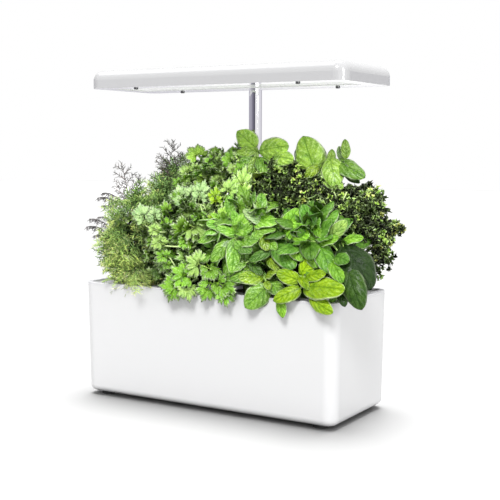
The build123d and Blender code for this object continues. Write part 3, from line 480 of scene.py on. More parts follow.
def ovate(ratio=0.62, bend=0.6, fold=0.10, roll=0.46, quilt=0.050, wave=0.05, nu=16, nv=10, base_e=0.46, tip_e=0.60, veins=4.6, slant=0.42, ph=0.0, thick=0.012, sag=0.0):
    """A basil-like blade of chord 1 along +x, its upper side towards +z."""
    u = np.linspace(0, 1, nu + 1)
    v = np.linspace(-1, 1, nv + 1)
    v = np.sign(v) * np.abs(v) ** 0.9
    U, V = np.meshgrid(u, v, indexing="ij")
    peak = base_e / (base_e + tip_e)
    top = peak ** base_e * (1 - peak) ** tip_e
    s = np.maximum(np.clip(U, 0, 1) ** base_e * np.clip(1 - U, 0, 1) ** tip_e / top, 0.03)
    hw = 0.5 * ratio * s
    phi = bend * (0.35 - u ** 1.2)
    mid = 0.5 * (phi[1:] + phi[:-1])
    x = np.concatenate([[0], np.cumsum(np.cos(mid))]) / nu
    z = np.concatenate([[0], np.cumsum(np.sin(mid))]) / nu
    A = np.abs(V)
    lift = hw * (fold * A - roll * A ** 2.0)
    t = veins * (U - slant * A ** 1.35) + 0.22 * np.sin(7.0 * U + 3.0 * V + 6.0 * ph)
    soft = np.minimum(1, 5 * U) * np.minimum(1, 5 * (1 - U))
    lift = lift + quilt * ratio * (np.abs(np.sin(np.pi * t)) ** 0.8 - 0.3) * np.sqrt(A) * (1 - A ** 5) * soft
    lift = lift + wave * ratio * np.sin(2 * np.pi * (1.7 * U + ph) + 1.1 * np.sign(V)) * A ** 2.5 * soft
    side = hw * V * (1 - 0.18 * roll * A ** 2)
    side = side + sag * 0.25 * U * (1 - U) * np.sin(2 * np.pi * ph)
    P = np.stack([x[:, None] - np.sin(phi)[:, None] * lift, side, z[:, None] + np.cos(phi)[:, None] * lift], -1).reshape(-1, 3)
    N = np.stack([np.broadcast_to(-np.sin(phi)[:, None], U.shape), 0 * U, np.broadcast_to(np.cos(phi)[:, None], U.shape)], -1).reshape(-1, 3)
    chord = np.array([x[-1], z[-1]])
    length, tilt = np.hypot(*chord), math.atan2(chord[1], chord[0])
    rot = np.array([[math.cos(tilt), 0, math.sin(tilt)], [0, 1, 0], [-math.sin(tilt), 0, math.cos(tilt)]])
    P, N = P @ rot.T / length, N @ rot.T
    vv, qq, src, upper = shell(P, nu + 1, nv + 1, N, thick)
    leaf = np.stack([U.ravel(), V.ravel(), s.ravel()], -1)[src]
    glow = 1.0 + 0.10 * (A.ravel()[src] - 0.4) + 0.10 * (U.ravel()[src] - 0.5)
    tone = np.stack([glow, glow, glow], -1)
    tone[~upper] *= np.array([1.15, 1.02, 1.10]) * 0.86
    return {"v": vv, "q": qq, "t": np.zeros((0, 3), int), "leaf": leaf, "tone": tone}


def fan(spread=1.35, lobes=3, depth=0.45, teeth=3, tooth=0.16, ruffle=0.05, waves=3.0, cup=0.12, bend=0.25, nth=28, nr=3, ph=0.0, thick=0.016, side=0.72, narrow=0.9, core=0.86, rim=0.26):
    """A lobed, toothed leaflet of length 1 along +x, from its stalk at the origin."""
    w = np.linspace(-1, 1, nth + 1)
    r = np.linspace(0, 1, nr + 1) ** 0.9
    r[0] = 0.07
    R, W = np.meshgrid(r, w, indexing="ij")
    th = W * spread
    p = (W + 1) / 2 * lobes
    q = np.abs((p % 1.0) - 0.5) * 2
    q = np.where(np.abs(W) > 0.999, 1.0, q)
    lobe = 1 - depth * q ** 2.4
    saw = np.abs(((p * teeth) % 1.0) - 0.5) * 2
    jag = 1 - tooth * saw ** 1.2
    env = side + (1 - side) * np.cos(W * math.pi / 2) ** 1.3
    reach = R * env * np.where(R > 0.5, 1 - (1 - lobe) * (0.35 + 0.65 * R), 1 - (1 - lobe) * 0.55) * (1 - (1 - jag) * R ** 3)
    x, y = reach * np.cos(th), reach * np.sin(th) * narrow
    z = ruffle * R ** 1.6 * np.sin(waves * th * 2.2 + ph) + 0.5 * ruffle * R ** 2 * np.sin(5.3 * waves * th + 2 * ph)
    z = z - bend * reach ** 2 + cup * (1 - q) * R ** 2 * 0.5
    P = np.stack([x, y, z], -1).reshape(-1, 3)
    N = np.broadcast_to(np.array([0.0, 0.0, 1.0]), P.shape)
    vv, qq, src, upper = shell(P, nr + 1, nth + 1, N, thick)
    qq = qq[:, ::-1]
    leaf = np.stack([R.ravel(), W.ravel(), np.ones(R.size)], -1)[src]
    # The tone rises from core at the stalk to core + rim at the edge; a low core and a high rim paint shade at the
    # leaflet's base and a highlight on its rim.
    glow = core + rim * R.ravel()[src] ** 1.6
    tone = np.stack([glow, glow, glow * 0.98], -1)
    tone[~upper] *= np.array([1.1, 1.0, 1.1]) * 0.85
    return {"v": vv, "q": qq, "t": np.zeros((0, 3), int), "leaf": leaf, "tone": tone}


def tube(points, radii, sides=4):
    """A tapered tube through points, with its ends closed."""
    P = np.asarray(points, float)
    k = len(P)
    T = unit(np.gradient(P, axis=0))
    ref = np.array([0.0, 0.0, 1.0]) if abs(T[0][2]) < 0.9 else np.array([1.0, 0.0, 0.0])
    A = np.zeros_like(P)
    a = unit(np.cross(T[0], ref))
    for i in range(k):
        a = unit(a - (a @ T[i]) * T[i])
        A[i] = a
    B = np.cross(T, A)
    ang = np.arange(sides) * 2 * math.pi / sides
    ring = A[:, None, :] * np.cos(ang)[None, :, None] + B[:, None, :] * np.sin(ang)[None, :, None]
    v = P[:, None, :] + ring * np.broadcast_to(np.asarray(radii, float), (k,))[:, None, None]
    i = np.arange(k - 1)[:, None] * sides
    j = np.arange(sides)[None, :]
    n = (j + 1) % sides
    quads = np.stack([i + j, i + n, i + sides + n, i + sides + j], -1).reshape(-1, 4)
    tris = []
    for m in range(1, sides - 1):
        tris.append([0, m + 1, m])
        tris.append([(k - 1) * sides, (k - 1) * sides + m, (k - 1) * sides + m + 1])
    return v.reshape(-1, 3), quads, np.array(tris)


def threads(P0, P1, P2, r0, r1):
    """Many fine three-sided threads at once, each through three points."""
    P = np.stack([P0, P1, P2], 1)
    T = unit(P2 - P0)
    ref = np.where(np.abs(T[:, 2:3]) < 0.9, [[0.0, 0.0, 1.0]], [[1.0, 0.0, 0.0]])
    A = unit(np.cross(T, ref))
    B = np.cross(T, A)
    ang = np.arange(3) * 2 * math.pi / 3
    ring = A[:, None, :] * np.cos(ang)[None, :, None] + B[:, None, :] * np.sin(ang)[None, :, None]
    rad = np.stack([r0, 0.5 * (r0 + r1), r1], -1) if np.ndim(r0) else np.broadcast_to([r0, 0.6 * r0 + 0.4 * r1, r1], (len(P0), 3))
    v = (P[:, :, None, :] + ring[:, None, :, :] * rad[:, :, None, None]).reshape(-1, 3)
    base = (np.arange(len(P0)) * 9)[:, None, None]
    q = []
    for s in (0, 3):
        for j in range(3):
            n = (j + 1) % 3
            q.append([s + j, s + n, s + 3 + n, s + 3 + j])
    quads = (np.array(q)[None] + base).reshape(-1, 4)
    tris = (np.array([[0, 2, 1], [6, 7, 8]])[None] + base).reshape(-1, 3)
    return v, quads, tris


def needles(P0, P2, r0, r1):
    """Straight three-sided needles, one length each."""
    T = unit(P2 - P0)
    ref = np.where(np.abs(T[:, 2:3]) < 0.9, [[0.0, 0.0, 1.0]], [[1.0, 0.0, 0.0]])
    A = unit(np.cross(T, ref))
    B = np.cross(T, A)
    ang = np.arange(3) * 2 * math.pi / 3
    ring = A[:, None, :] * np.cos(ang)[None, :, None] + B[:, None, :] * np.sin(ang)[None, :, None]
    v = np.stack([P0[:, None, :] + ring * np.reshape(r0, (-1, 1, 1)), P2[:, None, :] + ring * np.reshape(r1, (-1, 1, 1))], 1).reshape(-1, 3)
    base = (np.arange(len(P0)) * 6)[:, None, None]
    quads = (np.array([[0, 1, 4, 3], [1, 2, 5, 4], [2, 0, 3, 5]])[None] + base).reshape(-1, 4)
    tris = (np.array([[0, 2, 1], [3, 4, 5]])[None] + base).reshape(-1, 3)
    return v, quads, tris


def axes(dirs, normals, length, wide=1.0, deep=1.0):
    X = unit(dirs)
    Z = np.asarray(normals, float)
    Z = unit(Z - np.sum(Z * X, -1, keepdims=True) * X)
    Y = np.cross(Z, X)
    L = np.broadcast_to(np.asarray(length, float), (len(X),))[:, None]
    return np.stack([X * L, Y * L * np.asarray(wide).reshape(-1, 1), Z * L * np.asarray(deep).reshape(-1, 1)], -1)


def bezier(a, b, c, d, k):
    t = np.linspace(0, 1, k)[:, None]
    return (1 - t) ** 3 * a + 3 * t * (1 - t) ** 2 * b + 3 * t * t * (1 - t) * c + t ** 3 * d


def stalk(heap, start, end, end_dir, r0, r1, tint, rise=0.5, k=9, sides=5):
    """A stem that leaves the sponge upwards and meets its leaf in the leaf's own direction."""
    start, end = np.asarray(start, float), np.asarray(end, float)
    span = np.linalg.norm(end - start)
    pts = bezier(start, start + np.array([0, 0, rise * span]), end - unit(end_dir) * 0.3 * span, end, k)
    v, q, t = tube(pts, np.linspace(r0, r1, k), sides)
    heap.add(v, q, t, tint, (0.5, 0.0, 0.0))
    return pts


def dome_points(rng, n, centre, radii, inner=0.72, low=-0.6):
    """Points in a dome's outer shell and the way out there."""
    d = unit(rng.normal(size=(n * 3, 3)))
    d = d[d[:, 2] > low][:n]
    s = inner + (1 - inner) * rng.random((len(d), 1)) ** 0.6
    p = np.asarray(centre) + d * s * np.asarray(radii)
    return p, unit(d / np.asarray(radii))


def mixed(rng, base, pale, share, n, tone=0.3, hue=0.08):
    """Tints around base with a share of pale ones among them."""
    out = vary(rng, base, n, tone, hue)
    light = rng.random(n) < share
    out[light] = vary(rng, pale, int(light.sum()), 0.5 * tone, 0.5 * hue)
    return out


def vary(rng, base, n, tone=0.16, hue=0.07):
    """n tints around base: brightness and yellow-green shift vary from leaf to leaf."""
    b = 1 + rng.uniform(-tone, tone, (n, 1))
    h = rng.uniform(-hue, hue, (n, 1))
    return np.asarray(base)[None] * b * np.concatenate([1 + 1.6 * h, 1 + 0.2 * h, 1 - 0.5 * h], 1)


POD = {1: (-0.126, -0.030), 2: (-0.042, -0.030), 3: (0.042, -0.030), 4: (0.126, -0.030),
       5: (-0.126, 0.030), 6: (-0.042, 0.030), 7: (0.042, 0.030), 8: (0.126, 0.030)}
SPONGE_TOP = 0.1395
RIM = 0.142


def root_of(rng, pod):
    x, y = POD[pod]
    a, r = rng.uniform(0, 2 * math.pi), 0.006 * math.sqrt(rng.random())
    return np.array([x + r * math.cos(a), y + r * math.sin(a), SPONGE_TOP - 0.004])


def finish_plant(leaves, stems, plant, pod, leaf_slot):
    for o in leaves.objects(plant + "_leaves", MATS[leaf_slot]) + stems.objects(plant + "_stems", MATS["stem"]):
        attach(o, f"pod_{pod}")
        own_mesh(o)
        if "_leaves" in o.name:
            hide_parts(plant)


# ------------------------------------------------------------------ shapes that are used many times
def combine(parts):
    """Joins shapes into one: parts is a list of (shape, origin, axes)."""
    out, n = {"v": [], "q": [], "t": [], "leaf": [], "tone": []}, 0
    for s, origin, ax in parts:
        out["v"].append(s["v"] @ np.asarray(ax).T + np.asarray(origin))
        for k in ("q", "t"):
            if len(s[k]):
                out[k].append(s[k] + n)
        out["leaf"].append(s["leaf"])
        out["tone"].append(s["tone"])
        n += len(s["v"])
    return {"v": np.concatenate(out["v"]),
            "q": np.concatenate(out["q"]) if out["q"] else np.zeros((0, 4), int),
            "t": np.concatenate(out["t"]) if out["t"] else np.zeros((0, 3), int),
            "leaf": np.concatenate(out["leaf"]), "tone": np.concatenate(out["tone"])}


def rod(points, radii, sides=4, tone=(1.0, 1.0, 1.0)):
    v, q, t = tube(points, radii, sides)
    return {"v": v, "q": q, "t": t, "leaf": np.broadcast_to([0.5, 0.0, 0.0], v.shape).copy(), "tone": np.broadcast_to(tone, v.shape).copy()}


def turned(angle, lean=0.0, size=1.0, wide=1.0):
    """Axes of a leaflet in its leaf's plane: turned about z, then leaning up by lean."""
    x = np.array([math.cos(angle) * math.cos(lean), math.sin(angle) * math.cos(lean), math.sin(lean)])
    z = unit(np.array([0, 0, 1.0]) - math.sin(lean) * x)
    y = np.cross(z, x)
    return np.stack([x * size, y * size * wide, z * size], -1)


def parsley_leaf(rng, pairs=1, size=0.62, **kw):
    """A compound leaf of length 1: an end leaflet and pairs of side leaflets on a thin rachis."""
    def leaflet():
        return fan(ph=rng.uniform(0, 6.28), ruffle=rng.uniform(0.05, 0.10), bend=rng.uniform(0.10, 0.40), **kw)
    parts, pale = [], (1.25, 1.15, 1.1)
    stops = [1 - size] if pairs == 1 else [0.18, 1 - size]
    parts.append((leaflet(), (1 - size, 0, 0), turned(rng.uniform(-0.15, 0.15), rng.uniform(-0.2, 0.1), size)))
    parts.append((rod([(0, 0, 0.0), (0.5 * (1 - size), 0, 0.012), (1 - size + 0.04, 0, 0)], [0.014, 0.012, 0.009], 3, pale), (0, 0, 0), np.eye(3)))
    for k, s in enumerate(stops):
        for sign in (-1, 1):
            a, z = sign * rng.uniform(0.95, 1.25), rng.uniform(-0.25, 0.30)
            length = size * rng.uniform(0.70, 0.92) * (1.0 if k == len(stops) - 1 else 0.85)
            stem = 0.10 * size
            d = np.array([math.cos(a) * math.cos(z), math.sin(a) * math.cos(z), math.sin(z)])
            parts.append((leaflet(), np.array([s, 0, 0]) + d * stem, turned(a, z, length)))
            parts.append((rod([(s, 0, 0), tuple(np.array([s, 0, 0]) + d * (stem + 0.05))], [0.010, 0.008], 3, pale), (0, 0, 0), np.eye(3)))
    return combine(parts)


def frond(rng, pairs=10, subs=4, r=0.0105, droop=0.35, wide=1.0):
    """A feathery frond of length 1: side branches in pairs, each with fine threads both sides."""
    P0, P1, P2, R0, R1, N0, N2, NR, NT = [], [], [], [], [], [], [], [], []

    def axis(u):
        return np.array([u, 0.05 * math.sin(3 * u + droop * 9), 0.22 * u - droop * u * u])

    for k in range(4):
        a, b = axis(k / 4), axis((k + 1) / 4)
        P0.append(a); P1.append(0.5 * (a + b)); P2.append(b); R0.append(r * (1.7 - 0.3 * k)); R1.append(r * (1.4 - 0.3 * k))
    for i in range(pairs):
        u = 0.10 + 0.88 * (i + rng.uniform(-0.2, 0.2)) / pairs
        for sign in (-1, 1):
            a, b = rng.uniform(0.70, 1.10), rng.uniform(-0.5, 0.6)
            d = unit(np.array([math.cos(a), wide * sign * math.sin(a) * math.cos(b), math.sin(a) * math.sin(b)]))
            length = (0.38 - 0.24 * u) * rng.uniform(0.8, 1.2)
            s0 = axis(u)
            P0.append(s0); P2.append(s0 + d * length); P1.append(s0 + d * length * 0.5 + np.array([0, 0, 0.02])); R0.append(r); R1.append(0.6 * r)
            side = unit(np.cross(d, [0.1, 0.2, 1.0]))
            shade = rng.choice([0.30, 0.65, 1.20, 2.00])
            for j in range(subs):
                q = s0 + d * length * (j + 0.6) / subs
                for w in (-1, 1):
                    e = unit(d * 0.9 + side * w * 0.75 + 0.35 * rng.normal(size=3))
                    N0.append(q); N2.append(q + e * rng.uniform(0.08, 0.16)); NR.append(0.85 * r); NT.append(shade * rng.choice([0.6, 1.0, 1.5]))
    v, q, t = threads(np.array(P0), np.array(P1), np.array(P2), np.array(R0), np.array(R1))
    v2, q2, t2 = needles(np.array(N0), np.array(N2), np.array(NR), 0.6 * np.array(NR))
    far = np.clip(v[:, 0], 0, 1)
    tone = np.stack([0.62 + 0.40 * far, 0.68 + 0.35 * far, 0.8 + 0.2 * far], -1)
    end = np.tile(np.repeat([0.0, 1.0], 3), len(N0))
    far2 = np.clip(v2[:, 0], 0, 1)
    tone2 = np.stack([0.85 + 0.30 * far2 + 0.35 * end, 0.90 + 0.20 * far2 + 0.25 * end, 0.9 + 0.1 * far2], -1) * np.repeat(NT, 6)[:, None]
    n1 = len(v)
    v, tone = np.concatenate([v, v2]), np.concatenate([tone, tone2])
    return {"v": v, "q": np.concatenate([q, q2 + n1]), "t": np.concatenate([t, t2 + n1]),
            "leaf": np.broadcast_to([0.5, 0.0, 0.0], v.shape).copy(), "tone": tone}


def comb(rng, n=15, r=0.0150, length=0.34, arch=0.55):
    """An arching tip of length 1 whose needles hang from it in two rows."""
    P0, P1, P2, R0, R1 = [], [], [], [], []
    sway = rng.uniform(-0.05, 0.05)

    def axis(u):
        return np.array([u, sway * math.sin(4 * u), arch * u * (1 - u)])

    for k in range(6):
        a, b = axis(k / 6), axis((k + 1) / 6)
        P0.append(a); P1.append(0.5 * (a + b)); P2.append(b); R0.append(r * (1.5 - 0.13 * k)); R1.append(r * (1.37 - 0.13 * k))
    for i in range(n):
        u = 0.16 + 0.84 * (i + 0.6 * rng.random()) / n
        s, t = axis(u), unit(axis(u + 0.02) - axis(u - 0.02))
        for w in (-1, 1):
            d = unit(t * rng.uniform(0.35, 0.75) + np.array([0, w * rng.uniform(0.15, 0.75), -rng.uniform(0.6, 1.0)]))
            m = length * rng.uniform(0.6, 1.1) * (1.05 - 0.55 * u)
            P0.append(s); P1.append(s + d * m * 0.5 + t * m * 0.10); P2.append(s + d * m); R0.append(r); R1.append(r * 0.5)
    v, q, t = threads(np.array(P0), np.array(P1), np.array(P2), np.array(R0), np.array(R1))
    tone = np.tile(np.repeat([0.9, 1.0, 1.15], 3), len(P0))[:, None] * np.repeat(rng.choice([0.55, 0.85, 1.15, 1.5], len(P0)), 9)[:, None] * np.array([[1.0, 1.0, 1.0]])
    return {"v": v, "q": q, "t": t, "leaf": np.broadcast_to([0.5, 0.0, 0.0], v.shape).copy(), "tone": tone}


def sprig(rng, n=40, r=0.0120, length=0.16, spread=0.85, branches=0, curl=0.16):
    """A woody sprig of length 1 with needles all round, its side branches shorter towards the tip."""
    P0, P1, P2, R0, R1, wood = [], [], [], [], [], []
    lean = rng.uniform(-0.12, 0.12)

    def axis(u, b=None):
        if b is None:
            return np.array([u, lean * u * u, 0.10 * u - 0.10 * u * u])
        return b[0] + b[1] * u * b[2] + np.array([0.10 * u * u * b[2], 0, -0.06 * u * u])

    def dress(path, count, w, scale):
        for k in range(5):
            a, b = path(k / 5), path((k + 1) / 5)
            P0.append(a); P2.append(b); P1.append(0.5 * (a + b)); R0.append(w * (1.0 - 0.13 * k)); R1.append(w * (0.87 - 0.13 * k)); wood.append(1)
        for i in range(count):
            u = 0.10 + 0.90 * (i + rng.random()) / count
            a = rng.uniform(0, 6.283)
            s = path(u)
            t = unit(path(min(u + 0.05, 1.0)) - path(u - 0.05))
            side = unit(np.cross(t, [0.3, 0.5, 0.8]))
            out = side * math.cos(a) + np.cross(t, side) * math.sin(a)
            d = unit(t * (1.1 - spread * 0.6) + out * spread)
            m = scale * length * rng.uniform(0.7, 1.15) * (1.05 - 0.45 * u)
            P0.append(s); P1.append(s + d * m * 0.5 + t * m * 0.03); P2.append(s + d * m * 0.95 + t * m * curl)
            R0.append(r * 0.95); R1.append(r * 0.45); wood.append(0)
    dress(lambda u: axis(u), n, r * 1.3, 1.0)
    for k in range(branches):
        u = 0.20 + 0.62 * k / max(branches - 1, 1)
        sign = -1 if k % 2 else 1
        d = unit(np.array([0.62, sign * 0.80, rng.uniform(-0.35, 0.35)]))
        dress(lambda s, root=axis(u), d=d, m=0.46 - 0.30 * u: axis(s, (root, d, m)), max(6, n // 4), r, 0.85)
    v, q, t = threads(np.array(P0), np.array(P1), np.array(P2), np.array(R0), np.array(R1))
    tone = np.repeat(np.where(np.array(wood)[:, None] > 0, [[0.95, 0.72, 0.66]], [[1.0, 1.04, 0.98]]), 9, axis=0)
    tone = tone * np.tile(np.repeat([0.85, 1.0, 1.2], 3), len(P0))[:, None] * np.repeat(rng.choice([0.5, 0.85, 1.15, 1.6], len(P0)), 9)[:, None]
    return {"v": v, "q": q, "t": t, "leaf": np.broadcast_to([0.5, 0.0, 0.0], v.shape).copy(), "tone": tone}


def hero(leaves, base, tip, ratio, tilt, tint, bend=0.5, spin=0.0, fold=0.10, roll=0.42, ph=0.2, quilt=0.055, wave=0.06):
    """One large leaf from the pixel and depth of its base to those of its tip. tilt 0 faces the camera, 1 faces up."""
    B, T = at(*base), at(*tip)
    shape = ovate(ratio=ratio, bend=bend, fold=fold, roll=roll, ph=ph, quilt=quilt, wave=wave, nu=24, nv=14)
    n = unit((1 - tilt) * unit(EYE - B) + tilt * np.array([0, 0, 1.0]))
    ax = axes([T - B], [n], [np.linalg.norm(T - B)])[0]
    if spin:
        c, s = math.cos(math.radians(spin)), math.sin(math.radians(spin))
        y, z = ax[:, 1].copy(), ax[:, 2].copy()
        ax[:, 1], ax[:, 2] = c * y + s * z, c * z - s * y
    leaves.many(shape, [B], ax[None], [tint])
    return B, unit(T - B)


BASIL_SHAPES = [ovate(ratio=r, bend=b, fold=f, roll=o, ph=p, wave=w, nu=14, nv=10) for r, b, f, o, p, w in [
    (0.62, 0.5, 0.10, 0.45, 0.1, 0.05), (0.70, 0.8, 0.05, 0.55, 0.4, 0.06), (0.58, 1.1, 0.15, 0.40, 0.7, 0.05),
    (0.66, 0.3, 0.20, 0.35, 0.9, 0.07), (0.74, 0.9, 0.00, 0.60, 0.3, 0.05), (0.55, 0.7, 0.25, 0.30, 0.6, 0.06)]]


def rosette(rng, leaves, stems, pod, node, out, size, tint, stem_tint, pairs=3, root=True):
    """A basil shoot: leaf pairs at right angles round a growing tip, on a stem from the sponge."""
    node, out = np.asarray(node, float), unit(out)
    ball = node + unit(np.array([[i, j, k] for i in (-1, 0, 1) for j in (-1, 0, 1) for k in (-1, 0, 1)])) * size * 0.75
    node = node + make_room(np.concatenate([ball, node + (ball - node) * 0.5]))
    if root:
        stalk(stems, root_of(rng, pod), node, out, 0.0017, 0.0011, stem_tint)
    side = unit(np.cross(out, [0.2, 0.1, 1.0]))
    other = np.cross(out, side)
    turn = rng.uniform(0, math.pi)
    for k in range(pairs):
        for s in (0, math.pi):
            a = turn + k * math.pi / 2 + s + rng.uniform(-0.25, 0.25)
            radial = side * math.cos(a) + other * math.sin(a)
            open_ = [1.25, 0.95, 0.45, 0.2][k]
            d = unit(out * (0.55 - 0.22 * (2 - min(k, 2)) + 0.25 * k) + radial * open_ + np.array([0, 0, -0.10 if k == 0 else 0.08]))
            L = size * [1.0, 0.80, 0.42, 0.25][k] * rng.uniform(0.85, 1.15)
            foot = node - out * 0.006 * (2 - k) + radial * 0.002
            base = foot + d * L * 0.16
            nrm = unit(out * 0.9 - radial * 0.35 + np.array([0, 0, 0.35]))
            shape = BASIL_SHAPES[rng.integers(len(BASIL_SHAPES))]
            turned = axes([d], [nrm], [L], [rng.uniform(0.92, 1.08)])
            hue = vary(rng, tint, 1) * (1.0 + 0.10 * k)
            if make_room(shape["v"] @ turned[0].T + base)[:2].any():
                continue  # it would pass through the mast or the float's pin
            v, q, t = tube([foot, foot + d * L * 0.09, base + d * L * 0.03], [0.0011, 0.0009, 0.0007], 4)
            stems.add(v, q, t, stem_tint, (0.5, 0, 0))
            leaves.many(shape, [base], turned, hue)


ROOM = [  # x, y, radius and top of what moves among the leaves, and the way a leaf in it goes
    (0.0, 0.053, 0.0132, 0.300, "out"),  # the mast, whose tubes and collars slide
    (0.0, -0.038, 0.0188, 0.1625, "up"),  # the fill cap, lifted
    (-0.084, 0.0, 0.0048, 0.1810, "out")]  # the float's pin, risen


def make_room(v):
    """How far to move a leaf, given its points, so that it clears the mast, the fill cap and the float's pin."""
    shift = np.zeros(3)
    for _ in range(4):
        p = v + shift
        for x, y, r, top, way in ROOM:
            gap = p[:, :2] - (x, y)
            hit = ((gap ** 2).sum(1) < r * r) & (p[:, 2] < top)
            if not hit.any():
                continue
            if way == "up":
                shift[2] += top + 0.0006 - p[hit, 2].min()
            else:
                away = unit(p[:, :2].mean(0) - (x, y))
                along = gap[hit] @ away
                need = -along + np.sqrt(np.maximum(0, along ** 2 + r * r - (gap[hit] ** 2).sum(1)))
                shift[:2] += away * (need.max() + 0.0003)
            break
        else:
            break
    return shift


class Grower:
    """One herb: its stems spread from the sponge, and every leaf joins the nearest stem."""

    def __init__(self, seed, pod, stem_tint):
        self.rng, self.pod, self.tint = np.random.default_rng(seed), pod, stem_tint
        self.L, self.S, self.knots = Heap(), Heap(), []

    def stem(self, target, out=(0, 0, 1.0), r0=0.0016, r1=0.0009, rise=0.5, k=10, tint=None):
        target = np.asarray(target, float)
        pts = stalk(self.S, root_of(self.rng, self.pod), target, np.asarray(out, float), r0, r1, self.tint if tint is None else tint, rise=rise, k=k, sides=5)
        self.knots.append(pts[3:])

    def fan_out(self, n, centre, radii, reach=0.72, low=-0.15):
        pts, outs = dome_points(self.rng, n, centre, np.asarray(radii) * reach, inner=0.8, low=low)
        for p, o in zip(pts, outs):
            p[2] = max(p[2], RIM + 0.008)
            self.stem(p, unit(o + [0, 0, 0.3]))

    def join(self, base, d, r=0.0007, tint=None):
        knots = np.concatenate(self.knots)
        gap = knots - base
        cost = np.linalg.norm(gap, axis=1) + 0.8 * np.maximum(0, gap[:, 2] + 0.002)
        near = knots[np.argmin(cost)]
        span = np.linalg.norm(base - near)
        mid = 0.5 * (near + base) - unit(d) * 0.10 * span + np.array([0, 0, 0.10 * span])
        v, q, t = tube([near, mid, base, base + unit(d) * 0.0006], [r * 1.3, r * 1.15, r, r * 0.8], 4)
        self.S.add(v, q, t, self.tint if tint is None else tint, (0.5, 0, 0))

    def mass(self, n, centre, radii, inner=0.6, floor=RIM + 0.004, low=-1.0):
        """Points in a rounded mass whose underside stops on the deck, and the way out there."""
        p, out = dome_points(self.rng, n, centre, radii, inner=inner, low=low)
        under = p[:, 2] < floor
        p[under, 2] = floor + self.rng.random(under.sum()) * 0.022
        out[under, 2] = np.abs(out[under, 2]) * 0.25
        return p, unit(out)

    def place(self, shapes, points, outs, size, tints, up=0.4, flop=0.5, face=0.7, droop=0.15, join=True, hold=0.55):
        rng = self.rng
        for p, n, tint in zip(points, outs, tints):
            tang = unit(np.cross(n, rng.normal(size=3)))
            d = unit(n * (1.0 - 0.5 * flop) + tang * flop + np.array([0, 0, up - droop]))
            nrm = unit(n * face + np.array([0, 0, 0.6]) + 0.30 * rng.normal(size=3))
            length = size * rng.uniform(0.78, 1.22)
            base = p - d * length * hold
            base[2] = max(base[2], RIM + 0.0015)
            if base[2] + d[2] * length < RIM - 0.002 and abs(base[1] + d[1] * length) < 0.068:
                d = unit(np.array([d[0], d[1], 0.1]))
            near = abs(base[0]) < 0.12 and base[1] < 0.12
            turned = axes([d], [nrm], [length])
            if join and not near:
                self.join(base, d)
            shape = shapes[rng.integers(len(shapes))]
            if near:
                base = base + make_room(shape["v"] @ turned[0].T + base)
                if join:
                    self.join(base, d)
            self.L.many(shape, [base], turned, [tint])

    def done(self, plant, leaf_slot):
        return finish_plant(self.L, self.S, plant, self.pod, leaf_slot)


# ------------------------------------------------------------------ the herbs
LIME = srgb(152, 192, 18)
LIME_PALE = srgb(158, 204, 70)
BASIL = srgb(112, 162, 44)
BASIL_DEEP = srgb(78, 122, 38)
BASIL_DARK = srgb(56, 92, 34)
PARSLEY = srgb(124, 178, 44)
PARSLEY_PALE = srgb(176, 216, 112)
FROST = srgb(178, 214, 148)
DILL = srgb(194, 224, 130)
DILL_DEEP = srgb(126, 164, 94)
NEEDLE = srgb(126, 158, 98)
NEEDLE_DARK = srgb(116, 110, 118)
CURLY = srgb(120, 156, 58)
# The next tint is painted shade, for leaflets deep inside the curly parsley's heads.
CURLY_SHADE_TINT = srgb(20, 34, 12)
CURLY_TIP = srgb(196, 206, 92)
STEM = srgb(150, 182, 96)
STEM_PALE = srgb(190, 210, 146)
STEM_DARK = srgb(86, 108, 56)


def shoot(g, node_px, items, stem_r=0.0017, out=(0.0, -0.7, 0.5), petiole=0.0011):
    """A basil shoot: its node and each leaf are placed on a plane of their own."""
    node = at(*node_px)
    g.stem(node, out, stem_r, 0.0011, tint=STEM)
    for a in items:
        base, d = hero(g.L, a[0], a[1], a[2], a[3], a[4], bend=a[5], spin=a[6], ph=a[7])
        v, q, t = tube([node, 0.5 * (node + base) + np.array([0, 0, 0.002]), base, base + d * 0.0008], [petiole, petiole * 0.9, petiole * 0.75, petiole * 0.6], 5)
        g.S.add(v, q, t, STEM, (0.5, 0, 0))


def rosettes(g, n, centre, radii, size, tint, lo, hi, inner=0.6, low=-0.5, top=1.0, floor=RIM + 0.012):
    pts, outs = g.mass(n, centre, radii, inner=inner, floor=floor, low=low)
    for p, o in zip(pts, outs):
        if p[2] < top:
            # Shoots with dim tints, the inner ones, get dark stems too: painted shade.
            rosette(g.rng, g.L, g.S, g.pod, p, unit(o + [0, 0, 0.25]), size * g.rng.uniform(0.80, 1.2), tint * g.rng.uniform(lo, hi), STEM if hi > 0.6 else STEM_DARK)


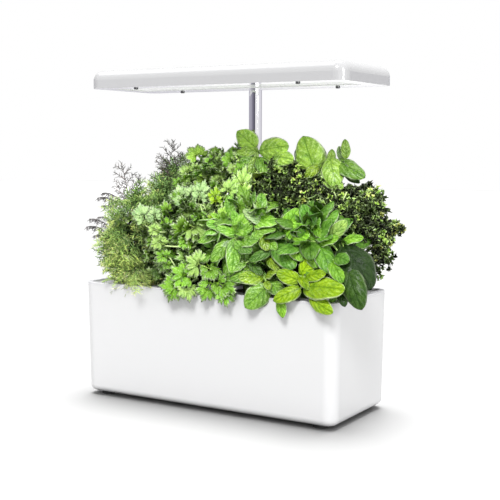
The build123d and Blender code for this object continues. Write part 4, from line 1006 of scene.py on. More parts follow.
def basil_front():
    g = Grower(3, 3, STEM)
    shoot(g, (264, 279, -66), [
        ((264, 278, -66), (238, 277, -84), 0.72, 0.30, LIME * 0.74, 0.5, 10, 0.2),
        ((258, 272, -62), (230, 279, -76), 0.62, 0.35, BASIL * 1.0, 0.5, 0, 0.6),
        ((268, 286, -70), (245, 308, -84), 0.84, 0.10, BASIL * 0.90, 0.5, -5, 0.5),
        ((266, 281, -64), (284, 293, -72), 0.62, 0.45, BASIL * 1.0, 0.4, 20, 0.8),
        ((265, 276, -62), (282, 268, -68), 0.62, 0.50, LIME * 0.60, 0.6, 0, 0.3),
        ((266, 281, -68), (269, 290, -80), 0.55, 0.20, LIME * 0.75, 0.9, 0, 0.1)], 0.0018, (0.3, -0.8, 0.1))
    shoot(g, (228, 234, -52), [
        ((222, 232, -52), (197, 242, -66), 0.56, 0.40, BASIL * 1.0, 0.5, 15, 0.3),
        ((231, 238, -56), (211, 262, -72), 0.56, 0.22, BASIL * 1.0, 0.5, 10, 0.6),
        ((231, 240, -52), (248, 213, -54), 0.66, 0.22, BASIL * 1.45, 0.6, -15, 0.1),
        ((240, 240, -54), (252, 222, -54), 0.60, 0.35, BASIL * 1.15, 0.6, 0, 0.5),
        ((264, 224, -52), (243, 209, -54), 0.50, 0.25, FROST * 0.72, 0.6, 12, 0.4),
        ((227, 230, -48), (217, 213, -46), 0.66, 0.30, BASIL * 0.9, 0.5, 0, 0.9)])
    shoot(g, (235, 238, -60), [
        ((235, 238, -60), (232, 274, -78), 0.46, 0.10, BASIL * 1.15, 0.35, -10, 0.4),
        ((240, 242, -58), (259, 240, -68), 0.62, 0.45, BASIL * 1.02, 0.6, 5, 0.7),
        ((238, 246, -62), (252, 252, -72), 0.55, 0.25, BASIL_DEEP * 1.1, 0.6, 5, 0.2)])
    shoot(g, (256, 240, -56), [
        ((254, 224, -50), (279, 222, -58), 0.52, 0.40, BASIL * 1.55, 0.7, -8, 0.5),
        ((252, 232, -52), (276, 230, -60), 0.48, 0.45, BASIL * 1.08, 0.7, 0, 0.1),
        ((262, 234, -58), (268, 251, -68), 0.66, 0.15, LIME * 0.58, 0.6, 0, 0.8),
        ((272, 249, -62), (249, 261, -72), 0.52, 0.30, BASIL_DEEP * 1.05, 0.5, 10, 0.1),
        ((268, 240, -58), (277, 250, -66), 0.60, 0.22, BASIL * 1.15, 0.9, 20, 0.3)])
    shoot(g, (252, 262, -62), [
        ((246, 263, -66), (226, 272, -78), 0.50, 0.40, BASIL * 0.9, 0.5, 10, 0.9),
        ((250, 262, -62), (262, 275, -70), 0.50, 0.30, BASIL_DEEP * 0.7, 0.5, 0, 0.4),
        ((266, 257, -58), (280, 271, -70), 0.40, 0.25, LIME * 0.62, 0.7, 15, 0.6)])
    rosettes(g, 26, (0.038, -0.026, 0.186), (0.052, 0.034, 0.058), 0.036, BASIL, 0.70, 1.35, inner=0.75, low=-0.25)
    # A dim inner layer of shoots: dark leaves that paint the shade inside the plant.
    rosettes(g, 16, (0.038, -0.022, 0.176), (0.046, 0.030, 0.044), 0.032, BASIL_DEEP, 0.25, 0.5, inner=0.5, low=-1.0)
    g.done("basil_front", "leaf_basil")


def dark_basil():
    g = Grower(4, 4, STEM)
    shoot(g, (303, 280, -70), [  # the bright shoot over the rim
        ((300, 281, -70), (276, 272, -82), 0.70, 0.25, LIME * 0.70, 0.5, -5, 0.2),
        ((300, 276, -66), (315, 255, -66), 0.68, 0.15, LIME * 1.02, 0.5, -15, 0.5),
        ((305, 277, -68), (326, 274, -76), 0.55, 0.40, LIME * 0.76, 0.6, 10, 0.8),
        ((303, 287, -72), (345, 290, -86), 0.50, 0.18, LIME * 0.76, 0.45, -8, 0.3),
        ((309, 297, -74), (333, 313, -86), 0.50, 0.22, LIME * 0.80, 0.5, 25, 0.6),
        ((301, 288, -72), (273, 301, -86), 0.60, 0.18, LIME * 0.70, 0.5, 8, 0.1),
        ((299, 276, -68), (309, 290, -80), 0.42, 0.20, LIME * 0.68, 0.8, 0, 0.9),
        ((279, 296, -74), (283, 318, -80), 0.55, 0.05, BASIL * 1.05, 0.35, 20, 0.4)], 0.0019)
    shoot(g, (345, 262, -60), [  # the big dark leaves on the right
        ((343, 244, -50), (371, 290, -64), 0.70, 0.10, BASIL_DARK * 0.34, 0.60, -14, 0.3),
        ((347, 268, -66), (362, 310, -80), 0.58, 0.08, BASIL_DEEP * 0.40, 0.6, 12, 0.7),
        ((342, 241, -46), (364, 238, -44), 0.62, 0.50, BASIL * 1.15, 0.9, 0, 0.5),
        ((335, 256, -60), (349, 262, -70), 0.72, 0.30, BASIL_DEEP * 1.25, 0.8, 10, 0.1),
        ((331, 260, -62), (343, 283, -76), 0.56, 0.15, BASIL * 1.02, 0.6, -10, 0.8),
        ((339, 285, -70), (345, 307, -80), 0.50, 0.12, BASIL_DARK * 0.5, 0.4, 0, 0.2),
        ((328, 240, -50), (347, 220, -46), 0.56, 0.20, PARSLEY_PALE * 0.78, 0.5, 15, 0.6)], 0.0019)
    shoot(g, (318, 243, -56), [
        ((308, 243, -56), (318, 268, -70), 0.62, 0.12, BASIL * 0.85, 0.5, 12, 0.3),
        ((319, 242, -56), (331, 274, -70), 0.60, 0.12, BASIL_DEEP * 1.4, 0.5, -8, 0.9),
        ((318, 242, -54), (339, 238, -60), 0.60, 0.40, BASIL * 1.1, 0.7, 0, 0.5),
        ((312, 226, -50), (328, 238, -58), 0.55, 0.30, BASIL * 1.0, 0.6, 5, 0.2),
        ((316, 240, -54), (302, 228, -54), 0.60, 0.35, BASIL * 1.0, 0.6, 0, 0.1)])
    shoot(g, (280, 238, -54), [
        ((275, 241, -56), (294, 269, -72), 0.62, 0.15, BASIL_DEEP * 1.35, 0.5, -5, 0.4),
        ((283, 225, -48), (309, 238, -62), 0.60, 0.22, BASIL * 1.55, 0.5, 5, 0.7),
        ((284, 234, -50), (298, 208, -44), 0.72, 0.15, BASIL * 1.50, 0.6, -10, 0.2),
        ((280, 225, -46), (256, 217, -50), 0.52, 0.40, BASIL * 1.35, 0.8, 0, 0.6),
        ((291, 243, -58), (303, 261, -68), 0.66, 0.22, BASIL * 1.12, 0.5, 0, 0.9)])
    rosettes(g, 26, (0.126, -0.026, 0.182), (0.050, 0.034, 0.052), 0.036, BASIL_DEEP, 0.75, 1.60, inner=0.75, low=-0.25)
    # A dim inner layer of shoots: dark leaves that paint the shade inside the plant.
    rosettes(g, 16, (0.126, -0.022, 0.172), (0.044, 0.030, 0.040), 0.032, BASIL_DEEP, 0.22, 0.45, inner=0.5, low=-1.0)
    g.done("dark_basil", "leaf_basil_dark")


def basil_back():
    g = Grower(7, 7, STEM)
    # The top leaves' tints are raised to make up for the shadow the hood casts on them: painted light.
    shoot(g, (258, 153, 30), [
        ((256, 148, 30), (237, 131, 26), 0.86, 0.15, LIME_PALE * 1.05, 0.5, -10, 0.2),
        ((257, 150, 28), (235, 153, 18), 0.62, 0.35, LIME_PALE * 0.66, 0.6, 0, 0.6),
        ((259, 151, 26), (289, 146, 20), 0.66, 0.20, LIME_PALE * 1.02, 0.6, 10, 0.9),
        ((269, 157, 24), (294, 160, 14), 0.58, 0.30, LIME_PALE * 0.88, 0.8, 10, 0.4),
        ((254, 158, 24), (236, 166, 16), 0.66, 0.25, BASIL * 0.95, 0.8, 0, 0.4),
        ((258, 157, 24), (270, 176, 12), 0.60, 0.25, BASIL * 0.85, 0.6, 0, 0.8),
        ((257, 156, 26), (250, 177, 14), 0.58, 0.25, LIME_PALE * 0.60, 0.6, 0, 0.3),
        ((272, 158, 22), (284, 169, 14), 0.60, 0.30, LIME_PALE * 0.74, 0.7, 0, 0.5)], 0.0020, (0.1, -0.1, 1.0), 0.0013)
    shoot(g, (316, 170, 36), [
        ((316, 174, 32), (303, 136, 26), 0.86, 0.10, LIME_PALE * 0.98, 0.5, -12, 0.3),
        ((331, 164, 34), (332, 149, 34), 0.66, 0.15, LIME_PALE * 0.75, 0.4, 0, 0.1),
        ((330, 157, 30), (336, 188, 16), 0.72, 0.10, LIME_PALE * 0.80, 0.5, 5, 0.7),
        ((333, 160, 34), (365, 178, 26), 0.54, 0.15, BASIL * 0.72, 0.5, -20, 0.5),
        ((334, 161, 36), (360, 183, 28), 0.40, 0.05, BASIL_DARK * 0.8, 0.5, 40, 0.2),
        ((346, 159, 38), (345, 139, 36), 0.56, 0.08, LIME_PALE * 0.80, 0.7, 15, 0.8),
        ((342, 160, 40), (339, 146, 38), 0.60, 0.10, FROST * 1.0, 0.5, 0, 0.3),
        ((304, 162, 34), (296, 149, 34), 0.80, 0.15, BASIL_DARK * 1.0, 0.4, 0, 0.2),
        ((319, 166, 28), (305, 177, 18), 0.70, 0.30, LIME * 0.72, 0.8, 0, 0.4),
        ((322, 176, 28), (343, 189, 18), 0.56, 0.35, LIME_PALE * 0.75, 0.7, 0, 0.9)], 0.0021, (0.1, -0.1, 1.0), 0.0013)
    rosettes(g, 26, (0.050, 0.048, 0.228), (0.058, 0.036, 0.066), 0.038, LIME_PALE, 0.55, 0.85, inner=0.7, low=-0.6, top=0.290)
    # A dim inner layer of shoots: dark leaves that paint the shade inside the plant.
    rosettes(g, 12, (0.048, 0.040, 0.205), (0.048, 0.032, 0.060), 0.034, BASIL_DEEP, 0.25, 0.5, inner=0.5, low=-1.0, top=0.275)
    g.done("basil_back", "leaf_basil")


CUT = dict(spread=1.12, lobes=3, depth=0.42, teeth=3, tooth=0.20, side=0.74, narrow=1.0)


def compound(g, shapes, items, stem=None, r=0.0008):
    """Placed compound leaves: base and tip by pixel and depth."""
    for base, tip, tint, tilt, wide in items:
        B, T = at(*base), at(*tip)
        n = unit((1 - tilt) * unit(EYE - B) + tilt * np.array([0, 0, 1.0]) + 0.12 * g.rng.normal(size=3))
        g.join(B, T - B, r, STEM_PALE if stem is None else stem)
        g.L.many(shapes[g.rng.integers(len(shapes))], [B], axes([T - B], [n], [np.linalg.norm(T - B)], [wide]), [tint])


def flat_parsley():
    g = Grower(2, 2, STEM)
    rng = g.rng
    small = [parsley_leaf(rng, pairs=1 + i % 2, size=0.56, nth=18, nr=2, **CUT) for i in range(8)]
    large = [parsley_leaf(rng, pairs=1 + i % 2, size=0.58, nth=36, nr=3, **CUT) for i in range(6)]
    g.fan_out(20, (-0.048, -0.028, 0.180), (0.052, 0.036, 0.058))
    for px in [(196, 276, -70), (176, 276, -70), (214, 276, -70), (188, 250, -58), (168, 236, -48), (205, 232, -50), (186, 206, -38), (204, 206, -36), (222, 205, -36), (241, 204, -30)]:
        g.stem(at(*px), (0, -0.5, 0.5), 0.0012, 0.0008, tint=STEM_PALE)
    compound(g, large, [
        ((210, 269, -70), (183, 257, -84), PARSLEY_PALE * 0.80, 0.20, 1.15),
        ((197, 279, -72), (168, 268, -84), PARSLEY * 1.12, 0.22, 1.1),
        ((190, 283, -74), (156, 287, -88), PARSLEY * 1.0, 0.18, 1.0),
        ((186, 278, -74), (190, 302, -86), PARSLEY_PALE * 0.78, 0.10, 0.9),
        ((178, 281, -72), (172, 301, -86), PARSLEY * 0.95, 0.10, 1.0),
        ((212, 278, -72), (203, 303, -86), PARSLEY * 0.92, 0.10, 1.0),
        ((221, 283, -72), (229, 306, -84), PARSLEY * 1.08, 0.10, 0.9),
        ((214, 282, -72), (236, 290, -82), PARSLEY * 0.85, 0.15, 0.9),
        ((206, 262, -66), (216, 280, -78), PARSLEY * 0.75, 0.25, 1.0),
        ((178, 258, -62), (154, 268, -78), PARSLEY * 0.75, 0.20, 1.0),
        ((176, 250, -60), (160, 274, -80), PARSLEY * 0.62, 0.20, 1.0),
        ((178, 256, -60), (150, 250, -74), PARSLEY * 1.05, 0.30, 1.0),
        ((182, 248, -58), (153, 240, -70), PARSLEY_PALE * 0.72, 0.30, 1.0),
        ((196, 246, -58), (176, 236, -66), PARSLEY * 1.12, 0.35, 1.0),
        ((182, 222, -48), (210, 234, -58), PARSLEY_PALE * 0.70, 0.30, 1.0),
        ((176, 232, -52), (152, 226, -60), PARSLEY * 1.15, 0.30, 1.1),
        ((164, 240, -52), (140, 238, -62), PARSLEY_PALE * 0.66, 0.25, 1.1),
        ((146, 226, -82), (138, 202, -84), FROST * 0.85, 0.10, 1.0),
        ((156, 222, -80), (152, 205, -80), FROST * 0.80, 0.15, 0.9),
        ((160, 232, -80), (146, 226, -84), PARSLEY_PALE * 0.85, 0.20, 1.0),
        ((166, 246, -80), (150, 236, -84), PARSLEY_PALE * 0.75, 0.20, 1.1),
        ((170, 258, -80), (154, 252, -86), PARSLEY * 0.95, 0.20, 1.1),
        ((172, 266, -78), (160, 262, -84), PARSLEY * 0.75, 0.20, 1.0),
        ((186, 206, -36), (176, 183, -34), FROST * 0.95, 0.12, 1.1),
        ((193, 200, -36), (190, 183, -34), FROST * 0.88, 0.20, 1.0),
        ((198, 204, -36), (204, 178, -30), FROST * 0.95, 0.15, 0.9),
        ((192, 228, -48), (182, 206, -44), PARSLEY_PALE * 0.64, 0.30, 1.0),
        ((200, 226, -48), (198, 206, -44), PARSLEY * 1.0, 0.30, 1.0),
        ((186, 246, -56), (174, 222, -52), PARSLEY * 0.82, 0.25, 1.0),
        ((214, 228, -48), (214, 209, -42), LIME * 0.95, 0.15, 0.8),
        ((219, 224, -46), (225, 204, -40), LIME_PALE * 1.1, 0.12, 0.7),
        ((222, 203, -36), (236, 175, -30), PARSLEY_PALE * 1.0, 0.12, 0.75),
        ((216, 206, -36), (215, 184, -32), LIME * 1.0, 0.12, 0.85),
        ((241, 200, -26), (245, 163, -22), PARSLEY_PALE * 1.0, 0.12, 0.65),
        ((206, 240, -52), (226, 226, -54), PARSLEY * 0.84, 0.30, 1.0),
        ((232, 212, -40), (248, 200, -40), PARSLEY * 0.7, 0.25, 1.0),
        ((205, 216, -40), (192, 208, -44), LIME_PALE * 0.75, 0.30, 1.0),
    ])
    for a, b in [((219, 224, -46), (222, 206, -38)), ((241, 222, -44), (241, 200, -26)), ((222, 205, -36), (218, 226, -46)), ((204, 222, -46), (200, 204, -38))]:
        v, q, t = tube([at(*a), 0.5 * (at(*a) + at(*b)) + np.array([0.001, 0, 0]), at(*b)], [0.0009, 0.0008, 0.0007], 5)
        g.S.add(v, q, t, STEM_PALE, (0.5, 0, 0))
    pts, outs = g.mass(170, (-0.050, -0.028, 0.186), (0.054, 0.042, 0.064), inner=0.78)
    g.place(small, pts, outs, 0.028, mixed(rng, PARSLEY * 0.56, PARSLEY_PALE * 0.66, 0.25, len(pts), 0.55, 0.09))
    # An inner mass of very dark leaflets: painted shade inside the plant.
    pts, outs = g.mass(100, (-0.048, -0.024, 0.180), (0.046, 0.034, 0.058), inner=0.35)
    g.place(small, pts, outs, 0.030, vary(rng, PARSLEY * 0.18, len(pts), 0.2, 0.05))
    g.done("flat_parsley", "leaf_parsley")


def coriander():
    g = Grower(6, 6, STEM)
    rng = g.rng
    kw = dict(CUT, depth=0.36, tooth=0.18, side=0.78)
    small = [parsley_leaf(rng, pairs=2, size=0.50, nth=18, nr=2, **kw) for i in range(8)]
    large = [parsley_leaf(rng, pairs=1, size=0.66, nth=36, nr=3, spread=1.15, lobes=3, depth=0.30, teeth=4, tooth=0.14, side=0.82, narrow=1.0) for i in range(3)]
    g.fan_out(20, (-0.050, 0.030, 0.215), (0.052, 0.042, 0.078))
    for px in [(205, 165, 24), (212, 188, 12), (222, 174, 20), (238, 172, 18)]:
        g.stem(at(*px), (0, 0, 1), 0.0012, 0.0008, tint=STEM_PALE)
    compound(g, large, [
        ((203, 163, 24), (189, 143, 22), LIME_PALE * 1.0, 0.20, 1.0),
        ((222, 170, 20), (212, 148, 22), PARSLEY * 0.95, 0.30, 1.0),
        ((236, 168, 18), (229, 147, 20), PARSLEY * 1.0, 0.30, 1.0),
        ((210, 190, 10), (198, 166, 12), LIME_PALE * 0.80, 0.20, 0.9)])
    for q in [(204, 167, 30), (198, 172, 26), (238, 158, 26), (218, 160, 28), (190, 178, 20)]:
        pts, outs = g.mass(16, at(*q), (0.012, 0.012, 0.012), inner=0.3)
        g.place(small, pts, outs, 0.022, mixed(rng, PARSLEY * 0.85, PARSLEY_PALE * 0.85, 0.3, len(pts), 0.35, 0.09))
    compound(g, small, [
        ((196, 182, 10), (180, 164, 10), PARSLEY_PALE * 0.72, 0.30, 1.0),
        ((186, 190, 0), (172, 176, 0), PARSLEY * 0.9, 0.30, 1.0),
        ((226, 190, 6), (212, 172, 8), PARSLEY_PALE * 0.70, 0.30, 1.0),
        ((246, 182, 12), (236, 160, 14), PARSLEY * 0.95, 0.30, 1.0),
        ((216, 172, 16), (222, 152, 18), PARSLEY_PALE * 0.75, 0.30, 1.0),
        ((240, 178, 8), (228, 162, 10), PARSLEY_PALE * 0.66, 0.35, 1.0)])
    pts, outs = g.mass(190, (-0.047, 0.030, 0.224), (0.058, 0.048, 0.075), inner=0.76, low=-0.8)
    g.place(small, pts, outs, 0.026, mixed(rng, PARSLEY * 0.68, PARSLEY_PALE * 0.80, 0.32, len(pts), 0.58, 0.09))
    # An inner mass of very dark leaflets: painted shade inside the plant.
    pts, outs = g.mass(120, (-0.046, 0.028, 0.216), (0.050, 0.040, 0.076), inner=0.30)
    g.place(small, pts, outs, 0.028, vary(rng, PARSLEY * 0.26, len(pts), 0.2, 0.05))
    g.done("coriander", "leaf_parsley")


def dill():
    g = Grower(1, 1, STEM_DARK)
    rng = g.rng
    shapes = [frond(rng, pairs=8 + i % 3, subs=3, droop=0.20 + 0.12 * i) for i in range(6)]
    dark = [sprig(rng, n=44, length=0.22, spread=0.9) for _ in range(3)]
    hanging = [comb(rng) for _ in range(4)]
    g.fan_out(26, (-0.120, -0.034, 0.182), (0.042, 0.036, 0.058), reach=0.6, low=-0.3)
    pts, outs = g.mass(120, (-0.116, -0.036, 0.190), (0.040, 0.040, 0.064), inner=0.72)
    lit = np.clip(0.55 - (pts[:, 2] - 0.142) * 7 - (pts[:, 1] + 0.03) * 7 + rng.normal(size=len(pts)) * 0.22, 0, 1)[:, None]
    tints = (DILL_DEEP * (1 - lit) * 1.05 + DILL * lit * 1.15) * rng.uniform(0.85, 1.2, (len(pts), 1))
    g.place(shapes, pts, outs, 0.038, tints, up=0.35, flop=0.75, face=0.7, droop=0.2)
    # An inner mass of very dark fronds: painted shade inside the plant.
    pts, outs = g.mass(64, (-0.114, -0.032, 0.184), (0.032, 0.030, 0.056), inner=0.25)
    g.place(shapes, pts, outs, 0.038, vary(rng, DILL_DEEP * 0.30, len(pts), 0.2, 0.05), up=0.4, flop=0.7)
    for px in [(120, 268, -62), (116, 244, -50), (124, 216, -38), (134, 272, -66)]:
        g.stem(at(*px), (-0.4, -0.3, 0.3), 0.0011, 0.0007)
    for base, tip, shape, tint in [
        ((120, 264, -60), (96, 252, -60), 1, NEEDLE * 0.75), ((121, 266, -62), (100, 247, -60), 1, NEEDLE * 0.6), ((122, 268, -64), (97, 262, -62), 1, NEEDLE * 0.8),
        ((123, 270, -66), (101, 272, -70), 1, NEEDLE * 1.0), ((126, 272, -66), (104, 282, -74), 1, DILL * 0.8), ((128, 274, -68), (112, 286, -78), 1, DILL * 0.9),
        ((134, 272, -66), (138, 295, -82), 0, DILL * 1.25), ((136, 270, -64), (133, 287, -78), 0, DILL * 1.1), ((132, 272, -66), (124, 286, -78), 0, DILL * 0.95),
        ((144, 268, -62), (148, 284, -76), 0, DILL * 0.8), ((154, 266, -58), (158, 280, -72), 0, DILL_DEEP * 1.1),
        ((110, 236, -48), (86, 227, -48), 2, NEEDLE_DARK), ((112, 231, -50), (89, 219, -50), 2, NEEDLE_DARK * 0.9), ((113, 242, -50), (93, 236, -50), 2, NEEDLE_DARK * 1.2),
        ((116, 226, -52), (98, 217, -52), 2, NEEDLE_DARK * 1.3), ((120, 206, -36), (97, 198, -36), 2, NEEDLE_DARK), ((122, 203, -36), (102, 193, -36), 2, NEEDLE_DARK * 0.9),
        ((117, 212, -34), (101, 206, -34), 2, NEEDLE_DARK * 1.2), ((118, 256, -56), (95, 249, -56), 1, NEEDLE * 0.55), ((118, 260, -58), (98, 257, -58), 1, NEEDLE * 0.7),
    ]:
        B, T = at(*base), at(*tip)
        g.join(B, T - B, 0.0006)
        pool = (shapes, dark, hanging)[shape]
        g.L.many(pool[rng.integers(3)], [B], axes([T - B], [(0, 0, 1.0)], [np.linalg.norm(T - B)]), [tint])
    g.done("dill", "leaf_dill")


def thyme():
    g = Grower(5, 5, STEM_DARK)
    rng = g.rng
    shapes = [sprig(rng, n=44) for _ in range(5)] + [sprig(rng, n=40, branches=7, length=0.15, spread=1.0, r=0.0105) for _ in range(4)]
    airy = [frond(rng, pairs=8, subs=3, droop=0.2) for _ in range(3)]
    g.fan_out(24, (-0.112, 0.034, 0.205), (0.044, 0.038, 0.066), reach=0.6, low=-0.3)
    pts, outs = g.mass(120, (-0.103, 0.038, 0.212), (0.040, 0.042, 0.064), inner=0.70)
    pool = [rng.random() < 0.55 for _ in pts]
    tints = np.where(np.array(pool)[:, None], NEEDLE, DILL_DEEP) * rng.uniform(0.55, 1.7, (len(pts), 1))
    m = np.array(pool)
    g.place(shapes, pts[m], outs[m], 0.040, tints[m], up=0.7, flop=0.4)
    g.place(airy, pts[~m], outs[~m], 0.040, tints[~m], up=0.6, flop=0.6)
    # An inner mass of very dark sprigs: painted shade inside the plant.
    pts, outs = g.mass(64, (-0.106, 0.036, 0.202), (0.034, 0.034, 0.056), inner=0.25)
    g.place(shapes[:5], pts, outs, 0.042, vary(rng, NEEDLE * 0.32, len(pts), 0.2, 0.05), up=0.6, flop=0.5)
    tuft = np.array([at(*q) for q in [(168, 198, 34), (174, 182, 36), (182, 172, 38), (163, 207, 26), (179, 196, 30), (167, 188, 36)]])
    for c in tuft:
        g.stem(c, (0, 0, 1), 0.0011, 0.0007)
        pts, outs = g.mass(26, c, (0.017, 0.017, 0.021), inner=0.2)
        tints = np.where(rng.random((len(pts), 1)) < 0.6, NEEDLE, DILL_DEEP * 0.9) * rng.uniform(0.45, 1.6, (len(pts), 1))
        g.place(airy + shapes[:5], pts, outs, 0.030, tints, up=0.6, flop=0.6)
    for px in [(132, 206, 20), (168, 184, 24), (150, 210, 12)]:
        g.stem(at(*px), (0, 0, 1), 0.0011, 0.0007)
    for base, tip, tint in [
        ((130, 206, 22), (123, 162, 20), NEEDLE_DARK), ((132, 206, 20), (138, 174, 20), NEEDLE_DARK * 1.2),
        ((128, 208, 18), (115, 184, 16), NEEDLE_DARK * 1.1), ((134, 210, 16), (143, 186, 14), NEEDLE_DARK * 1.2),
        ((167, 182, 26), (171, 140, 24), NEEDLE_DARK), ((166, 184, 24), (162, 154, 24), NEEDLE_DARK * 1.1),
        ((168, 184, 24), (181, 152, 22), NEEDLE_DARK * 1.1), ((170, 190, 20), (174, 164, 20), NEEDLE),
        ((178, 180, 24), (187, 156, 24), NEEDLE * 1.1), ((152, 208, 12), (147, 180, 12), DILL * 0.9),
        ((148, 212, 10), (153, 184, 10), DILL * 0.9), ((158, 198, 14), (156, 172, 14), NEEDLE), ((142, 212, 10), (138, 190, 10), DILL * 0.8),
    ]:
        B, T = at(*base), at(*tip)
        g.join(B, T - B, 0.0007)
        g.L.many(shapes[5 + rng.integers(4)], [B], axes([T - B], [unit(EYE - B)], [np.linalg.norm(T - B)]), [tint])
    g.done("thyme", "leaf_thyme")


def curly_parsley():
    g = Grower(8, 8, STEM_DARK)
    rng = g.rng
    # core=0.30 and rim=1.35: each curly leaflet gets painted shade at its base and a painted highlight on its rim.
    shapes = [fan(spread=2.0, lobes=3, depth=0.30, teeth=2, tooth=0.34, ruffle=0.34 + 0.06 * (i % 3), waves=1.6 + 0.3 * (i % 4), cup=0.3, bend=-0.35 + 0.12 * (i % 5), nth=12, nr=2, ph=i * 1.7, thick=0.04, core=0.30, rim=1.35) for i in range(14)]
    heads = []
    for cx, cy, y, r, n in [
        (268, 180, 24, 0.018, 74), (284, 174, 28, 0.019, 80), (298, 178, 28, 0.015, 60), (276, 167, 20, 0.011, 34), (291, 168, 26, 0.012, 40), (260, 192, 14, 0.018, 70), (274, 194, 12, 0.020, 84), (290, 192, 14, 0.020, 84),
        (306, 189, 22, 0.019, 80), (264, 206, 4, 0.016, 56), (280, 210, 2, 0.020, 76), (298, 206, 4, 0.020, 84), (314, 204, 8, 0.020, 84), (322, 192, 22, 0.018, 70),
        (334, 202, 18, 0.020, 84), (344, 196, 28, 0.018, 70), (330, 218, -2, 0.022, 90), (348, 210, 10, 0.022, 92), (358, 200, 26, 0.019, 80),
        (372, 198, 30, 0.012, 44), (362, 212, 14, 0.022, 92), (374, 210, 26, 0.014, 56), (348, 228, -6, 0.020, 76), (362, 230, 4, 0.020, 80),
        (375, 226, 16, 0.016, 66), (385, 229, 22, 0.010, 30), (392, 230, 26, 0.007, 18), (400, 228, 28, 0.005, 12), (376, 242, 12, 0.015, 56), (388, 242, 20, 0.008, 22),
        (380, 252, 14, 0.010, 30), (381, 257, 12, 0.005, 12), (314, 226, -10, 0.018, 60),
    ]:
        heads.append((at(cx, cy, y), r, n))
    for c, r, n in [((0.10, 0.066, 0.246), 0.022, 54), ((0.140, 0.066, 0.228), 0.022, 54), ((0.172, 0.056, 0.212), 0.020, 46),
                    ((0.115, 0.072, 0.205), 0.022, 50), ((0.155, 0.044, 0.252), 0.020, 46), ((0.150, 0.066, 0.190), 0.020, 44),
                    ((0.070, 0.074, 0.205), 0.020, 42), ((0.178, 0.040, 0.180), 0.016, 32), ((0.155, 0.060, 0.165), 0.016, 32), ((0.125, 0.072, 0.168), 0.016, 32)]:
        heads.append((np.array(c), r, n))
    up = np.array([0, 0, 1.0])
    middle = np.array([0.126, 0.030, 0.14])
    for c, r, n in heads:
        out = unit(c - middle)
        g.stem(c, unit(out + up * 0.3), 0.0014, 0.0008, rise=0.45)
        d = unit(rng.normal(size=(n * 2, 3)))
        d = d[(d @ unit(out + 0.6 * up)) > -0.45][:n]
        rad = r * rng.uniform(0.60, 1.08, (len(d), 1))
        p = c + d * rad * np.array([1.1, 1.0, 0.9])
        # Leaflets deep inside a head take the dark tint and those high on it the light one: painted shade within the
        # head, painted light on its top.
        deep = np.clip((rad[:, 0] / r - 0.60) / 0.45, 0, 1)
        high = np.clip(d[:, 2] * 0.7 + 0.45, 0, 1)
        base = CURLY_SHADE_TINT * 0.8 + np.outer(deep * (0.25 + 0.75 * high), CURLY * 1.1 - CURLY_SHADE_TINT * 0.8)
        edge = np.clip((c[0] - 0.176) / 0.03, 0, 1)
        tip = (rng.random(len(d)) < 0.015 + 0.40 * edge) & (deep > 0.4)
        # Random brightness steps; the darkest and brightest of them stand in for deep shade and highlight specks.
        tints = base * rng.choice([0.06, 0.30, 1.00, 3.4], (len(d), 1))
        tints[tip] = CURLY_TIP * rng.uniform(0.45, 1.0, (tip.sum(), 1))
        dirs = unit(d + 0.45 * rng.normal(size=d.shape) + 0.25 * up)
        nrm = unit(d * 0.5 + 0.9 * rng.normal(size=d.shape) + 0.3 * up)
        size = rng.uniform(0.0050, 0.0082, len(d))
        kind = rng.integers(len(shapes), size=len(d))
        for s in range(len(shapes)):
            m = kind == s
            if m.any():
                g.L.many(shapes[s], p[m] - dirs[m] * size[m][:, None] * 0.5, axes(dirs[m], nrm[m], size[m]), tints[m])
        for k in range(0, len(d), 3):
            v, q, t = tube([c - d[k] * 0.002, c + d[k] * rad[k] * 0.55, p[k] - dirs[k] * size[k] * 0.42], [0.0006, 0.0005, 0.0004], 3)
            g.S.add(v, q, t, STEM * 0.7, (0.5, 0, 0))
    for a, b in [((340, 206, 0), (334, 192, 4)), ((340, 206, 0), (347, 192, 4)), ((340, 220, -6), (340, 206, 0))]:
        v, q, t = tube([at(*a), 0.5 * (at(*a) + at(*b)), at(*b)], [0.0010, 0.0009, 0.0008], 5)
        g.S.add(v, q, t, STEM_PALE, (0.5, 0, 0))
    g.done("curly_parsley", "leaf_curly")


for grow in (dill, flat_parsley, basil_front, dark_basil, thyme, coriander, basil_back, curly_parsley):
    grow()


# ------------------------------------------------------------------ sponge plugs and the coiled lead
def value_noise(p, seed):
    """Smooth repeatable noise in -1..1 for mesh relief."""
    r = np.random.default_rng(seed)
    out = np.zeros(len(p))
    for k in range(10):
        f = r.normal(size=3) * (1.0 + 0.55 * k)
        out += np.sin(p @ f + r.uniform(0, 6.283)) / (1.0 + 0.35 * k)
    return out / 4.0


def sponge_material():
    t = Tree("sponge_open_cell")
    cells = t.cells(900.0)
    big = t.cells(330.0)
    tone = t.noise(60.0, 4.0)
    # The pores are darkened where the bump sinks them: painted shade in the holes.
    col = t.blend(t.span(cells, 0.15, 0.6, 1.0, 0.0), (0.095, 0.055, 0.030), (0.020, 0.012, 0.008))
    col = t.blend(t.span(tone, 0.35, 0.65, 0.0, 0.6), col, (0.14, 0.095, 0.055))
    t.bump(t.math("ADD", cells, t.math("MULTIPLY", big, 0.8)), 0.0009, 1.0)
    return t.set(color=col, rough=t.span(tone, 0.3, 0.7, 0.85, 0.97), sheen=0.15, sheen_rough=0.6, spec=0.2)


